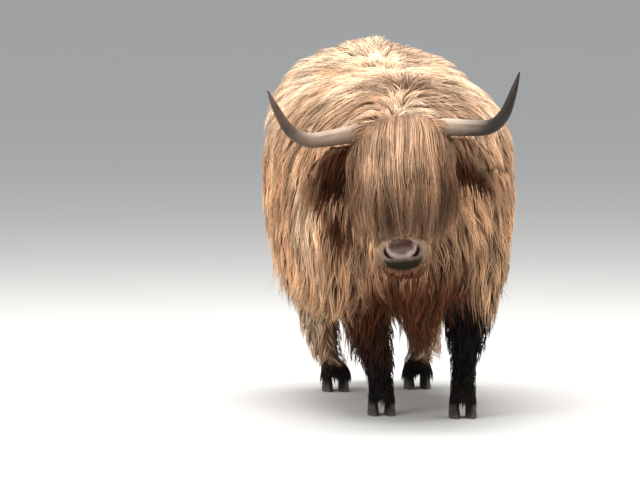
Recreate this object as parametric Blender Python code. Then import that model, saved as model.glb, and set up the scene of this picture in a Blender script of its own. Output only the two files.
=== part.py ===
"""A life-size highland cow standing with its head low, as solids out to the tips of its coat.

The cow faces -Y and +X is its own left. Every form is a run of oval rings through a few
named stations. Trunk and neck are fused and parted again with a flat cut; the other pieces
are trimmed where they meet their neighbour.
"""

import math

import bmesh
import bpy
import numpy as np
from mathutils import Matrix

# ---------------------------------------------------------------- driving sizes, in metres
GAP = 0.0004  # left between two pieces that meet
FUSE_VOXEL = 0.018  # grid on which the body's forms are fused
RING = 28  # points round a body ring
STEPS = 24  # rings along a body form

SOLE_LEVEL = 0.0
CORONET = 0.055  # height where claw meets pastern

FORE_LEFT_FOOT = (0.192, -0.050)  # x, y of each foot's middle
FORE_RIGHT_FOOT = (-0.083, 0.085)
HIND_LEFT_FOOT = (0.170, 1.160)
HIND_RIGHT_FOOT = (-0.142, 1.080)
FORE_LEFT_HEM = 0.252  # height where the long hair ends and the dark shank shows
FORE_RIGHT_HEM = 0.195
HIND_HEM = 0.122
FORE_TOP_X = 0.215  # where each leg enters the body, to either side
HIND_TOP_X = 0.215

POLL = (-0.076, -0.420, 1.062)  # top of the skull, between the horns
HEAD_DOWN = math.radians(57)  # how far the face hangs below level
HEAD_ASIDE = math.radians(12.5)  # turned to its right
HEAD_LEAN = math.radians(4.5)  # its left side held higher

# ---------------------------------------------------------------- stations
# trunk: y, top, bottom, half width, height of the widest line, spine ridge
TRUNK = (
    (-0.300, 0.930, 0.560, 0.050, 0.740, 0.000),  # breast
    (-0.235, 1.040, 0.470, 0.200, 0.745, 0.000),
    (-0.100, 1.145, 0.430, 0.325, 0.750, 0.005),  # points of the shoulders
    (0.110, 1.212, 0.400, 0.395, 0.765, 0.018),  # withers
    (0.380, 1.205, 0.372, 0.432, 0.785, 0.012),
    (0.640, 1.200, 0.362, 0.447, 0.800, 0.010),  # widest of the barrel
    (0.880, 1.225, 0.392, 0.434, 0.820, 0.015),  # loins
    (1.080, 1.268, 0.460, 0.392, 0.880, 0.030),  # hip bones
    (1.230, 1.258, 0.540, 0.330, 0.900, 0.050),  # tail head
    (1.340, 1.160, 0.620, 0.230, 0.900, 0.020),  # pin bones
    (1.390, 1.020, 0.720, 0.060, 0.880, 0.000),
)
TRUNK_POWER = (2.9, 3.2)  # squareness of the section, above and below
RIDGE_WIDTH = 0.085

# neck: share of the way to the poll, half width, rise, drop
NECK_FROM = (0.0, 0.150, 0.930)
NECK_TO = (-0.074, -0.375, 0.950)
NECK = (
    (-0.20, 0.300, 0.230, 0.300),
    (0.00, 0.330, 0.275, 0.350),
    (0.35, 0.285, 0.240, 0.345),
    (0.65, 0.225, 0.195, 0.300),
    (0.88, 0.190, 0.150, 0.245),
    (1.00, 0.155, 0.115, 0.180),
    (1.08, 0.060, 0.050, 0.090),
)

# upright forms: height, x, y, half width, reach forward, reach back
BRISKET = (
    (0.860, 0.000, -0.140, 0.200, 0.130, 0.160),
    (0.700, 0.005, -0.175, 0.185, 0.135, 0.170),
    (0.540, 0.015, -0.195, 0.140, 0.120, 0.140),
    (0.420, 0.025, -0.205, 0.098, 0.090, 0.105),
    (0.330, 0.030, -0.200, 0.062, 0.058, 0.070),
    (0.272, 0.030, -0.195, 0.018, 0.016, 0.020),
)
SHOULDER = (  # the hair that hangs over the top of a foreleg
    (0.900, 0.190, 0.060, 0.150, 0.180, 0.200),
    (0.700, 0.225, 0.030, 0.155, 0.190, 0.200),
    (0.540, 0.222, 0.010, 0.146, 0.172, 0.172),
    (0.440, 0.212, 0.005, 0.122, 0.140, 0.140),
    (0.400, 0.208, 0.005, 0.060, 0.070, 0.070),
)
THIGH = (
    (0.980, 0.170, 1.120, 0.170, 0.210, 0.210),
    (0.800, 0.200, 1.120, 0.170, 0.230, 0.235),
    (0.640, 0.205, 1.140, 0.152, 0.195, 0.205),
    (0.540, 0.200, 1.170, 0.128, 0.150, 0.155),
    (0.495, 0.195, 1.180, 0.070, 0.080, 0.085),
)

# haired legs: share of the way from hem to body, share of the way to the leg's top,
# x outward and y backward beyond the foot, half width, forward, back
FORELEG = (
    (1.00, 1.00, 0.010, 0.020, 0.110, 0.118, 0.132),
    (0.75, 0.75, 0.012, 0.020, 0.112, 0.118, 0.128),
    (0.50, 0.50, 0.012, 0.012, 0.104, 0.110, 0.120),
    (0.25, 0.28, 0.012, 0.006, 0.094, 0.098, 0.110),
    (0.08, 0.16, 0.012, 0.002, 0.084, 0.086, 0.098),
    (0.00, 0.12, 0.010, 0.002, 0.070, 0.070, 0.082),
)
HINDLEG = (
    (1.00, 1.00, 0.000, 0.030, 0.130, 0.180, 0.170),
    (0.80, 0.85, 0.010, 0.040, 0.130, 0.165, 0.155),
    (0.60, 0.65, 0.020, 0.078, 0.116, 0.125, 0.120),
    (0.42, 0.45, 0.026, 0.105, 0.100, 0.098, 0.112),  # hock
    (0.25, 0.25, 0.030, 0.085, 0.086, 0.080, 0.096),
    (0.10, 0.10, 0.032, 0.055, 0.074, 0.066, 0.080),
    (0.00, 0.04, 0.022, 0.036, 0.056, 0.052, 0.062),
)
# shanks: share of the way from coronet to hem, x outward, y backward, half width, forward, back
FORESHANK = (
    (1.00, 0.010, 0.002, 0.064, 0.060, 0.066),
    (0.60, 0.004, 0.002, 0.047, 0.048, 0.056),
    (0.30, 0.002, 0.002, 0.047, 0.051, 0.060),  # fetlock
    (0.14, 0.000, 0.000, 0.046, 0.050, 0.055),
    (0.00, 0.000, -0.006, 0.051, 0.056, 0.054),
)
HINDSHANK = (
    (1.00, 0.020, 0.034, 0.048, 0.046, 0.055),
    (0.55, 0.006, 0.016, 0.046, 0.051, 0.059),  # fetlock
    (0.25, 0.002, 0.006, 0.045, 0.050, 0.055),
    (0.00, 0.000, -0.004, 0.050, 0.055, 0.053),
)
LEG_TOP = 0.700  # height where the legs' haired forms end inside the body

# head: distance down the face, face line, jaw line, half width
HEAD = (
    (-0.055, -0.050, -0.100, 0.040),
    (-0.035, -0.012, -0.150, 0.110),
    (0.020, 0.006, -0.190, 0.138),
    (0.095, 0.014, -0.225, 0.146),
    (0.180, 0.012, -0.248, 0.142),  # eyes
    (0.272, 0.004, -0.232, 0.126),
    (0.355, 0.000, -0.182, 0.108),
    (0.415, 0.000, -0.154, 0.102),
    (0.450, -0.002, -0.150, 0.099),
)
MUZZLE = (  # its end slants, so that the nostrils look ahead while the face hangs
    (0.440, -0.002, -0.150, 0.098),
    (0.466, -0.008, -0.152, 0.097),
    (0.488, -0.021, -0.152, 0.092),
    (0.508, -0.039, -0.147, 0.080),
    (0.523, -0.060, -0.134, 0.060),
    (0.530, -0.082, -0.114, 0.026),
)
FORELOCK = (  # as the head, but over it: the long fringe
    (-0.075, 0.000, -0.110, 0.050),
    (-0.050, 0.034, -0.135, 0.130),
    (0.000, 0.054, -0.140, 0.176),
    (0.080, 0.066, -0.130, 0.190),
    (0.170, 0.070, -0.120, 0.192),
    (0.260, 0.066, -0.100, 0.172),
    (0.340, 0.052, -0.080, 0.140),
    (0.410, 0.034, -0.050, 0.104),
    (0.458, 0.012, -0.014, 0.050),
)
HEAD_POWER = 2.3

EYE_RADIUS = 0.021
EYE_PLACE = (0.184, -0.062, 0.1245)  # down the face, into it, out to the side
NOSTRIL_PLACE = (0.492, -0.030, 0.048)
NOSTRIL_SIZE = (0.018, 0.014, 0.011)  # half size down the face, into it, across

# horn: outward, forward, up (all from the poll), radius
HORN = (
    (0.090, -0.010, -0.014, 0.032),
    (0.180, 0.000, -0.018, 0.031),
    (0.255, 0.026, -0.025, 0.028),
    (0.312, 0.052, -0.025, 0.026),
    (0.352, 0.074, -0.009, 0.023),
    (0.382, 0.090, 0.022, 0.020),
    (0.404, 0.098, 0.063, 0.0160),
    (0.423, 0.100, 0.108, 0.0115),
    (0.444, 0.094, 0.162, 0.0030),
)
# ear: outward, forward, up, half length across, half thickness
EAR = (
    (0.080, -0.050, -0.085, 0.026, 0.024),
    (0.130, -0.050, -0.092, 0.042, 0.026),
    (0.180, -0.048, -0.106, 0.062, 0.024),
    (0.235, -0.042, -0.128, 0.074, 0.020),
    (0.285, -0.034, -0.158, 0.066, 0.014),
    (0.320, -0.028, -0.186, 0.022, 0.006),
)
# tail: x, y, z, half width, half depth
TAIL = (
    (0.000, 1.250, 1.215, 0.046, 0.040),
    (0.000, 1.350, 1.190, 0.050, 0.043),
    (0.000, 1.412, 1.090, 0.044, 0.040),
    (0.000, 1.436, 0.900, 0.038, 0.036),
    (0.000, 1.440, 0.720, 0.038, 0.036),
    (0.000, 1.440, 0.600, 0.042, 0.040),
)
SWITCH = (
    (0.000, 1.440, 0.5995, 0.042, 0.040),
    (0.000, 1.440, 0.520, 0.064, 0.056),
    (0.000, 1.440, 0.400, 0.076, 0.062),
    (0.000, 1.440, 0.290, 0.056, 0.046),
    (0.000, 1.440, 0.215, 0.016, 0.014),
)
UDDER = (  # height, x, y, half width, forward, back
    (0.620, 0.010, 1.010, 0.085, 0.100, 0.080),
    (0.520, 0.010, 1.010, 0.105, 0.130, 0.095),
    (0.450, 0.010, 1.005, 0.096, 0.115, 0.090),
    (0.410, 0.010, 1.000, 0.066, 0.078, 0.065),
    (0.392, 0.010, 1.000, 0.020, 0.024, 0.020),
)
TEAT_SPREAD = (0.048, 0.046)
TEAT_LENGTH, TEAT_RADIUS = 0.052, 0.011

CLAW_LENGTH, CLAW_WIDTH, CLAW_CLEFT = 0.122, 0.050, 0.006
DEWCLAW_RADIUS, DEWCLAW_LENGTH = 0.013, 0.028
DEWCLAW_SPREAD, DEWCLAW_TOP = 0.024, 0.086

# ---------------------------------------------------------------- finishes: colour, roughness
COAT = ("coat", (0.56, 0.33, 0.17), 0.85)
DARK_COAT = ("dark_coat", (0.030, 0.022, 0.018), 0.80)
BARE_SKIN = ("bare_skin", (0.42, 0.31, 0.28), 0.50)
HORN_FINISH = ("horn", (0.72, 0.64, 0.54), 0.35)
CLAW_FINISH = ("claw", (0.060, 0.050, 0.045), 0.45)
EYE_FINISH = ("eye", (0.020, 0.012, 0.010), 0.05)


# ---------------------------------------------------------------- forms
def smooth_run(stations, steps=STEPS):
    """The stations resampled at even steps along a cubic that passes through all of them."""
    rows = np.asarray(stations, float)
    slopes = np.gradient(rows, axis=0)
    at = np.linspace(0, len(rows) - 1, steps)
    first = np.minimum(at.astype(int), len(rows) - 2)
    t = (at - first)[:, None]
    before, after = rows[first], rows[first + 1]
    return (
        before * (1 + 2 * t) * (1 - t) ** 2
        + slopes[first] * t * (1 - t) ** 2
        + after * t**2 * (3 - 2 * t)
        - slopes[first + 1] * t**2 * (1 - t)
    )


def ovals(centres, across, up, half_width, rise, drop, powers=(2.0, 2.0), count=RING):
    """One superellipse for each centre: half_width to either side, rise above it, drop below."""
    turn = np.linspace(0, 2 * math.pi, count, endpoint=False)
    power = np.where(np.sin(turn) > 0, powers[0], powers[1])
    wide = np.sign(np.cos(turn)) * np.abs(np.cos(turn)) ** (2 / power)
    tall = np.sign(np.sin(turn)) * np.abs(np.sin(turn)) ** (2 / power)
    height = np.where(tall > 0, rise[:, None], drop[:, None]) * tall
    width = half_width[:, None] * wide
    return centres[:, None, :] + width[..., None] * across + height[..., None] * up


def ring_mesh(rings):
    """A closed mesh over rows of rings, with a fan at either end."""
    rows, columns = rings.shape[:2]
    shape = bmesh.new()
    points = [[shape.verts.new(p) for p in ring] for ring in rings]
    for low, high in zip(points, points[1:]):
        for i in range(columns):
            j = (i + 1) % columns
            shape.faces.new((low[i], low[j], high[j], high[i]))
    for ring, end in ((rings[0], points[0]), (rings[-1], points[-1])):
        middle = shape.verts.new(ring.mean(axis=0))
        for i in range(columns):
            shape.faces.new((end[i], end[(i + 1) % columns], middle))
    bmesh.ops.triangulate(shape, faces=shape.faces)
    bmesh.ops.recalc_face_normals(shape, faces=shape.faces)
    mesh = bpy.data.meshes.new("form")
    shape.to_mesh(mesh)
    shape.free()
    return mesh


def upright_rings(stations, steps=STEPS, count=RING, lift=0.0):
    """Level ovals up a form whose stations give height, x, y, half width, forward, back."""
    z, x, y, half_width, forward, back = smooth_run(stations, steps).T
    centres = np.stack([x, y, z + lift], axis=1)
    left, ahead = np.array([1.0, 0, 0]), np.array([0, -1.0, 0])
    return ovals(centres, left, ahead, half_width, forward, back, (2.2, 2.2), count)


def swept_rings(stations, side_start, steps, count):
    """Ovals square to a path whose stations give x, y, z, half width, half depth."""
    rows = smooth_run(stations, steps)
    centres = rows[:, :3]
    along = np.gradient(centres, axis=0)
    along /= np.linalg.norm(along, axis=1, keepdims=True)
    side = np.cross(along, np.asarray(side_start, float))
    side /= np.linalg.norm(side, axis=1, keepdims=True)
    depth = np.cross(side, along)
    half_width, half_depth = rows[:, 3], rows[:, 4]
    return ovals(
        centres,
        side[:, None, :],
        depth[:, None, :],
        half_width,
        half_depth,
        half_depth,
        (2.0, 2.0),
        count,
    )


# ---------------------------------------------------------------- objects
def finish_of(kind):
    """The material of one finish, made once."""
    name, colour, roughness = kind
    material = bpy.data.materials.get(name)
    if material is None:
        material = bpy.data.materials.new(name)
        material.use_nodes = True
        shader = material.node_tree.nodes["Principled BSDF"]
        shader.inputs["Base Color"].default_value = (*colour, 1.0)
        shader.inputs["Roughness"].default_value = roughness
        shader.inputs["Metallic"].default_value = 0.0
    return material


def add_piece(name, mesh, kind):
    """A visible piece of the cow, smooth except at its sharp rims."""
    piece = bpy.data.objects.new(name, mesh)
    bpy.context.scene.collection.objects.link(piece)
    mesh.materials.clear()
    mesh.materials.append(finish_of(kind))
    mesh.shade_smooth()
    mesh.set_sharp_from_angle(angle=math.radians(50))
    return piece


def add_guide(mesh):
    """A helper that cuts others and isn't part of the cow."""
    guide = bpy.data.objects.new("guide", mesh)
    bpy.context.scene.collection.objects.link(guide)
    guide.hide_render = True
    guide.display_type = "WIRE"
    return guide


def settled(piece):
    """Takes the piece's modifiers into its mesh."""
    bpy.context.view_layer.update()
    graph = bpy.context.evaluated_depsgraph_get()
    mesh = bpy.data.meshes.new_from_object(piece.evaluated_get(graph))
    piece.modifiers.clear()
    piece.data = mesh
    return piece


def joined_mesh(meshes):
    """Several closed forms in one mesh, ready to be fused."""
    shape = bmesh.new()
    for mesh in meshes:
        shape.from_mesh(mesh)
    whole = bpy.data.meshes.new("forms")
    shape.to_mesh(whole)
    shape.free()
    return whole


def fused(name, meshes, kind, voxel, smoothing, triangles):
    """The forms fused on a grid, their creases eased, and thinned to about so many triangles."""
    piece = add_piece(name, joined_mesh(meshes), kind)
    remesh = piece.modifiers.new("fuse", "REMESH")
    remesh.mode = "VOXEL"
    remesh.voxel_size = voxel
    ease = piece.modifiers.new("ease", "SMOOTH")
    ease.factor = 0.5
    ease.iterations = smoothing
    settled(piece)
    thin = piece.modifiers.new("thin", "DECIMATE")
    piece.data.calc_loop_triangles()
    thin.ratio = min(1.0, triangles / len(piece.data.loop_triangles))
    thin.use_collapse_triangulate = True
    settled(piece)
    piece.data.materials.clear()
    piece.data.materials.append(finish_of(kind))
    return piece


def room_for(piece, grow=GAP):
    """A guide of the piece's shape, larger all round by the gap."""
    mesh = piece.data.copy()
    points = np.array([v.co for v in mesh.vertices])
    normals = np.array([v.normal for v in mesh.vertices])
    mesh.vertices.foreach_set("co", (points + grow * normals).astype(np.float32).ravel())
    return add_guide(mesh)


def combined(piece, others, operation):
    """The piece cut by, kept inside or joined with each of the others."""
    for other in others:
        boolean = piece.modifiers.new("combine", "BOOLEAN")
        boolean.operation = operation
        boolean.object = other
        boolean.solver = "EXACT"
        settled(piece)
    return piece


def main_body(piece):
    """Drops the crumbs that a cut left beside the piece's largest body."""
    shape = bmesh.new()
    shape.from_mesh(piece.data)
    left, bodies = set(shape.verts), []
    while left:
        body, edge = set(), {left.pop()}
        while edge:
            body |= edge
            edge = {e.other_vert(v) for v in edge for e in v.link_edges} - body
        left -= body
        bodies.append(body)
    largest = max(bodies, key=len)
    crumbs = [v for v in shape.verts if v not in largest]
    bmesh.ops.delete(shape, geom=crumbs, context="VERTS")
    shape.to_mesh(piece.data)
    shape.free()
    return piece


def trimmed(piece, *neighbours):
    """The piece with room left for each neighbour."""
    return main_body(combined(piece, [room_for(n) for n in neighbours], "DIFFERENCE"))


# ---------------------------------------------------------------- body
def trunk_mesh():
    y, top, bottom, half_width, widest, ridge = smooth_run(TRUNK, 40).T
    centres = np.stack([np.zeros_like(y), y, widest], axis=1)
    left, up = np.array([1.0, 0, 0]), np.array([0, 0, 1.0])
    rings = ovals(centres, left, up, half_width, top - widest, widest - bottom, TRUNK_POWER, 36)
    above = np.clip((rings[..., 2] - widest[:, None]) / (top - widest)[:, None], 0, 1)
    spine = np.exp(-((rings[..., 0] / RIDGE_WIDTH) ** 2)) * above
    rings[..., 2] += ridge[:, None] * spine
    return ring_mesh(rings)


def neck_mesh():
    share, half_width, rise, drop = smooth_run(NECK).T
    start, end = np.array(NECK_FROM), np.array(NECK_TO)
    centres = start + share[:, None] * (end - start)
    along = (end - start) / np.linalg.norm(end - start)
    side = np.cross([0, 0, 1.0], along)
    side /= np.linalg.norm(side)
    up = np.cross(along, side)
    rings = ovals(centres, side, up, half_width, rise, drop, (2.2, 2.2))
    return ring_mesh(rings)


def mirrored(stations, side):
    """Upright stations put on the cow's left (side 1) or right (side -1)."""
    return [(z, side * x, y, w, f, b) for z, x, y, w, f, b in stations]


def neck_cut(keep_front):
    """A large block whose face is the flat cut at the root of the neck, less half the gap."""
    size = 2.0
    mesh = bpy.data.meshes.new("neck cut")
    shape = bmesh.new()
    bmesh.ops.create_cube(shape, size=size)
    away = -1.0 if keep_front else 1.0
    place = (
        Matrix.Translation((0, -0.075, 0.80))
        @ Matrix.Rotation(math.radians(-24), 4, "X")
        @ Matrix.Translation((0, away * (size / 2 + GAP / 2), 0))
    )
    shape.transform(place)
    shape.to_mesh(mesh)
    shape.free()
    return add_guide(mesh)


def make_body():
    """Trunk and neck, fused as one and parted at the root of the neck."""
    forms = [trunk_mesh(), neck_mesh(), ring_mesh(upright_rings(BRISKET))]
    for side in (1, -1):
        forms.append(ring_mesh(upright_rings(mirrored(SHOULDER, side))))
        forms.append(ring_mesh(upright_rings(mirrored(THIGH, side))))
    trunk = fused("trunk", forms, COAT, FUSE_VOXEL, 6, 1300)
    neck = add_piece("neck", trunk.data.copy(), COAT)
    combined(trunk, [neck_cut(keep_front=False)], "INTERSECT")
    combined(neck, [neck_cut(keep_front=True)], "INTERSECT")
    return trunk, neck


# ---------------------------------------------------------------- head
def head_frame():
    """The head's own left, the way down its face, and the way out of its face."""
    left, ahead, up = level_frame()
    along = math.cos(HEAD_DOWN) * ahead - math.sin(HEAD_DOWN) * up
    out = math.sin(HEAD_DOWN) * ahead + math.cos(HEAD_DOWN) * up
    return np.array([left, along, out])


def level_frame():
    """The head's turn and lean without its nod: left, forward, up."""
    aside = Matrix.Rotation(-HEAD_ASIDE, 3, "Z") @ Matrix.Rotation(-HEAD_LEAN, 3, "Y")
    return np.array([aside.col[0], -aside.col[1], aside.col[2]])


def face_rings(stations, steps, count=RING):
    """Ovals square to the face, from stations of distance, face line, jaw line, half width."""
    left, along, out = head_frame()
    distance, face, jaw, half_width = smooth_run(stations, steps).T
    middle = (face + jaw) / 2
    centres = np.array(POLL) + distance[:, None] * along + middle[:, None] * out
    half = (face - jaw) / 2
    return ovals(centres, left, out, half_width, half, half, (HEAD_POWER,) * 2, count)


def on_head(distance, depth, aside):
    """A point given by its distance down the face, its height out of it and its left offset."""
    left, along, out = head_frame()
    return np.array(POLL) + distance * along + depth * out + aside * left


def ball_mesh(centre, radii, segments, rings):
    """A ball with its own half sizes along the head's left, along and out directions."""
    left, along, out = head_frame()
    shape = bmesh.new()
    bmesh.ops.create_uvsphere(shape, u_segments=segments, v_segments=rings, radius=1.0)
    for vertex in shape.verts:
        x, y, z = vertex.co
        vertex.co = centre + radii[0] * x * left + radii[1] * y * along + radii[2] * z * out
    shape.normal_update()
    bmesh.ops.recalc_face_normals(shape, faces=shape.faces)
    mesh = bpy.data.meshes.new("ball")
    shape.to_mesh(mesh)
    shape.free()
    return mesh


def level_run(stations, side):
    """Stations given outward, forward and up from the poll, turned into the cow's space."""
    left, ahead, up = level_frame()
    rows = np.asarray(stations, float)
    places = np.array(POLL) + rows[:, :1] * side * left + rows[:, 1:2] * ahead + rows[:, 2:3] * up
    return np.hstack([places, rows[:, 3:]])


def make_horn(name, side):
    rows = level_run(HORN, side)
    rings = swept_rings(np.hstack([rows, rows[:, 3:4]]), (0, 1, 0), 16, 10)
    return add_piece(name, ring_mesh(rings), HORN_FINISH)


def make_ear(name, side):
    rings = swept_rings(level_run(EAR, side), (0, 1, 0), 10, 12)
    return add_piece(name, ring_mesh(rings), COAT)


def make_head(neck):
    """Skull with its short coat, bare muzzle, fringe, horns, ears and eyes, fitted to the neck."""
    head = add_piece("head", ring_mesh(face_rings(HEAD, 11, 14)), COAT)
    combined(head, [muzzle_plane(-1)], "INTERSECT")
    muzzle = add_piece("muzzle", ring_mesh(face_rings(MUZZLE, 7, 16)), BARE_SKIN)
    combined(muzzle, [muzzle_plane(1)], "INTERSECT")
    eyes, horns, ears = [], [], []
    for side, word in ((1, "left"), (-1, "right")):
        distance, depth, aside = EYE_PLACE
        ball = ball_mesh(on_head(distance, depth, side * aside), (EYE_RADIUS,) * 3, 12, 8)
        eyes.append(add_piece(f"eye_{word}", ball, EYE_FINISH))
        distance, depth, aside = NOSTRIL_PLACE
        length, height, width = NOSTRIL_SIZE
        hollow = ball_mesh(on_head(distance, depth, side * aside), (width, length, height), 10, 6)
        combined(muzzle, [add_guide(hollow)], "DIFFERENCE")
        horns.append(make_horn(f"horn_{word}", side))
        ears.append(make_ear(f"ear_{word}", side))
    trimmed(head, *eyes)
    forelock = add_piece("forelock", ring_mesh(face_rings(FORELOCK, 10, 14)), COAT)
    trimmed(neck, head, forelock, *horns, *ears)
    trimmed(forelock, head, muzzle, *eyes, *horns, *ears)
    for ear, horn in zip(ears, horns):
        trimmed(ear, horn, head)
        trimmed(horn, head)


def muzzle_plane(side):
    """A block on the poll's side (-1) or the nose's side (1) of the flat cut across the nose."""
    size = 1.2
    left, along, out = head_frame()
    cut = (HEAD[-1][0] + MUZZLE[0][0]) / 2
    centre = on_head(cut + side * (size / 2 + GAP / 2), 0, 0)
    shape = bmesh.new()
    bmesh.ops.create_cube(shape, size=size)
    for vertex in shape.verts:
        x, y, z = vertex.co
        vertex.co = centre + x * left + y * along + z * out
    shape.normal_update()
    bmesh.ops.recalc_face_normals(shape, faces=shape.faces)
    mesh = bpy.data.meshes.new("muzzle cut")
    shape.to_mesh(mesh)
    shape.free()
    return add_guide(mesh)


# ---------------------------------------------------------------- legs
def leg_stations(stations, foot, hem, side):
    """Haired leg stations, told from foot and hem, as upright ones."""
    x, y = foot
    top_x = side * (FORE_TOP_X if stations is FORELEG else HIND_TOP_X)
    return [
        (hem + h * (LEG_TOP - hem), x + k * (top_x - x) + side * out, y + back, w, f, b)
        for h, k, out, back, w, f, b in stations
    ]


def shank_stations(stations, foot, hem, side):
    """Shank stations, told from foot, coronet and hem, as upright ones."""
    x, y = foot
    return [
        (CORONET + h * (hem - CORONET), x + side * out, y + back, w, f, b)
        for h, out, back, w, f, b in stations
    ]


def claw_mesh(centre, side):
    """One claw: level rings, pointed at the toe and upright on the side of the cleft."""
    levels = np.linspace(0, 1, 3)
    turn = np.linspace(0, 2 * math.pi, 14, endpoint=False)
    toe = np.clip(np.sin(turn), 0, 1)
    rings = []
    for level in levels:
        half = CLAW_LENGTH / 2 * (1 - 0.16 * level)
        wide = CLAW_WIDTH / 2 * (1 - 0.10 * level)
        x = wide * np.cos(turn) * (1 - 0.42 * toe**2)
        inward = np.cos(turn) * side < 0
        x = np.where(inward, x * 0.82, x)
        y = -half * np.sin(turn) + 0.020 * level - 0.012
        z = np.full_like(x, SOLE_LEVEL + level * (CORONET - GAP - SOLE_LEVEL))
        rings.append(np.stack([centre[0] + x, centre[1] + y, z], axis=1))
    return ring_mesh(np.array(rings))


def make_claws(leg, foot):
    """The two claws under the pastern."""
    for side, word in ((1, "left"), (-1, "right")):
        x = foot[0] + side * (CLAW_WIDTH / 2 + CLAW_CLEFT / 2 - 0.002)
        claw = claw_mesh((x, foot[1]), side)
        add_piece(f"{leg}_claw_{word}", claw, CLAW_FINISH)


def dewclaw_mesh(foot, back, side):
    """A small blunt cone behind the fetlock, pointing down and back."""
    x, y = foot[0] + side * DEWCLAW_SPREAD, foot[1] + back
    top, tip = DEWCLAW_TOP, DEWCLAW_TOP - DEWCLAW_LENGTH
    stations = (
        (x, y - 0.020, top + 0.016, DEWCLAW_RADIUS, DEWCLAW_RADIUS),
        (x, y, top, DEWCLAW_RADIUS, DEWCLAW_RADIUS),
        (x, y + 0.012, tip, DEWCLAW_RADIUS * 0.5, DEWCLAW_RADIUS * 0.5),
    )
    return ring_mesh(swept_rings(stations, (1, 0, 0), 3, 6))


def make_leg(name, foot, hem, side, upper, lower, trunk):
    """A haired upper leg trimmed to the body, the dark shank under it, and the foot."""
    rings = upright_rings(leg_stations(upper, foot, hem, side), 10, 14, GAP)
    leg = trimmed(add_piece(name, ring_mesh(rings), COAT), trunk)
    rings = upright_rings(shank_stations(lower, foot, hem, side), 6, 12)
    shank = add_piece(f"{name}_shank", ring_mesh(rings), DARK_COAT)
    back = lower[-2][-1] + lower[-2][-4]
    claws = [add_guide(dewclaw_mesh(foot, back, word)) for word in (1, -1)]
    combined(shank, claws, "UNION")
    make_claws(name, foot)
    return leg


# ---------------------------------------------------------------- tail and udder
def make_tail(trunk):
    tail = add_piece("tail", ring_mesh(swept_rings(TAIL, (0, 1, 0), 12, 12)), COAT)
    trimmed(tail, trunk)
    add_piece("tail_switch", ring_mesh(swept_rings(SWITCH, (0, 1, 0), 9, 12)), COAT)


def make_udder(trunk, legs):
    bag = add_piece("udder", ring_mesh(upright_rings(UDDER, 7, 12)), BARE_SKIN)
    for sx in (1, -1):
        for sy in (1, -1):
            x, y = UDDER[2][1] + sx * TEAT_SPREAD[0], UDDER[2][2] + sy * TEAT_SPREAD[1]
            top, low = 0.46, 0.405 - TEAT_LENGTH
            rows = ((x, y, top), (x, y, (top + low) / 2), (x, y, low))
            radii = ((TEAT_RADIUS,) * 2, (TEAT_RADIUS,) * 2, (TEAT_RADIUS * 0.55,) * 2)
            stations = [(*row, *radius) for row, radius in zip(rows, radii)]
            teat = add_guide(ring_mesh(swept_rings(stations, (0, 1, 0), 3, 6)))
            combined(bag, [teat], "UNION")
    trimmed(bag, trunk, *legs)


def stand_on_origin():
    """Moves the whole cow so that the middle of its box's underside is the origin."""
    pieces = [thing for thing in bpy.data.objects if not thing.hide_render]
    points = np.vstack([[v.co for v in piece.data.vertices] for piece in pieces])
    low, high = points.min(axis=0), points.max(axis=0)
    shift = Matrix.Translation((-(low[0] + high[0]) / 2, -(low[1] + high[1]) / 2, -low[2]))
    for piece in pieces:
        piece.data.transform(shift)


def main():
    for thing in list(bpy.data.objects):
        bpy.data.objects.remove(thing)
    trunk, neck = make_body()
    make_head(neck)
    fore = {"upper": FORELEG, "lower": FORESHANK, "trunk": trunk}
    hind = {"upper": HINDLEG, "lower": HINDSHANK, "trunk": trunk}
    legs = [
        make_leg("foreleg_left", FORE_LEFT_FOOT, FORE_LEFT_HEM, 1, **fore),
        make_leg("foreleg_right", FORE_RIGHT_FOOT, FORE_RIGHT_HEM, -1, **fore),
        make_leg("hindleg_left", HIND_LEFT_FOOT, HIND_HEM, 1, **hind),
        make_leg("hindleg_right", HIND_RIGHT_FOOT, HIND_HEM, -1, **hind),
    ]
    make_tail(trunk)
    make_udder(trunk, legs)
    stand_on_origin()


main()
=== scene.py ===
"""Dresses the highland cow's solids: one skin, a coat of tapered locks, horns, claws and eyes.

Everything is in metres, +Z up. The cow faces -Y and its own left is +X.
"""

import math

import bmesh
import bpy
import numpy as np
from mathutils import Matrix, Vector
from mathutils.bvhtree import BVHTree
from mathutils.kdtree import KDTree


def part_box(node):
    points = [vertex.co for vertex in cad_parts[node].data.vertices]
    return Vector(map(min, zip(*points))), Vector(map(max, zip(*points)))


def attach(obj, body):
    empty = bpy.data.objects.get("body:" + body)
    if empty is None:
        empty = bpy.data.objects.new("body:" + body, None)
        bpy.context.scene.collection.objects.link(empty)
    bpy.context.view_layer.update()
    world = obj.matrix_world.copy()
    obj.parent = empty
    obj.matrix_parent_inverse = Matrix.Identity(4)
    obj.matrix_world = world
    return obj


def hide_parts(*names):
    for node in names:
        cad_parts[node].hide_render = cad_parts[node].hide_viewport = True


bl_info = {
    "name": "Highland cow",
    "version": (1, 0, 0),
    "blender": (4, 5, 0),
    "location": "3D View > Sidebar > Highland cow",
    "description": "Skin, coat, horns, claws and eyes for a life-size highland cow",
    "category": "Object",
}

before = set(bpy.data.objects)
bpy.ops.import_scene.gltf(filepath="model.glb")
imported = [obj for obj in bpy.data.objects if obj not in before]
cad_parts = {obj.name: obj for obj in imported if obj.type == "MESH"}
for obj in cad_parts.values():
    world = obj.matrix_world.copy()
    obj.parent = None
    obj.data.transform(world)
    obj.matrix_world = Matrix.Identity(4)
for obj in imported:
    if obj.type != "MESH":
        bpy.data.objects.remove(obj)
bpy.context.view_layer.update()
FULL_TURN = 2 * math.pi

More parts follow.
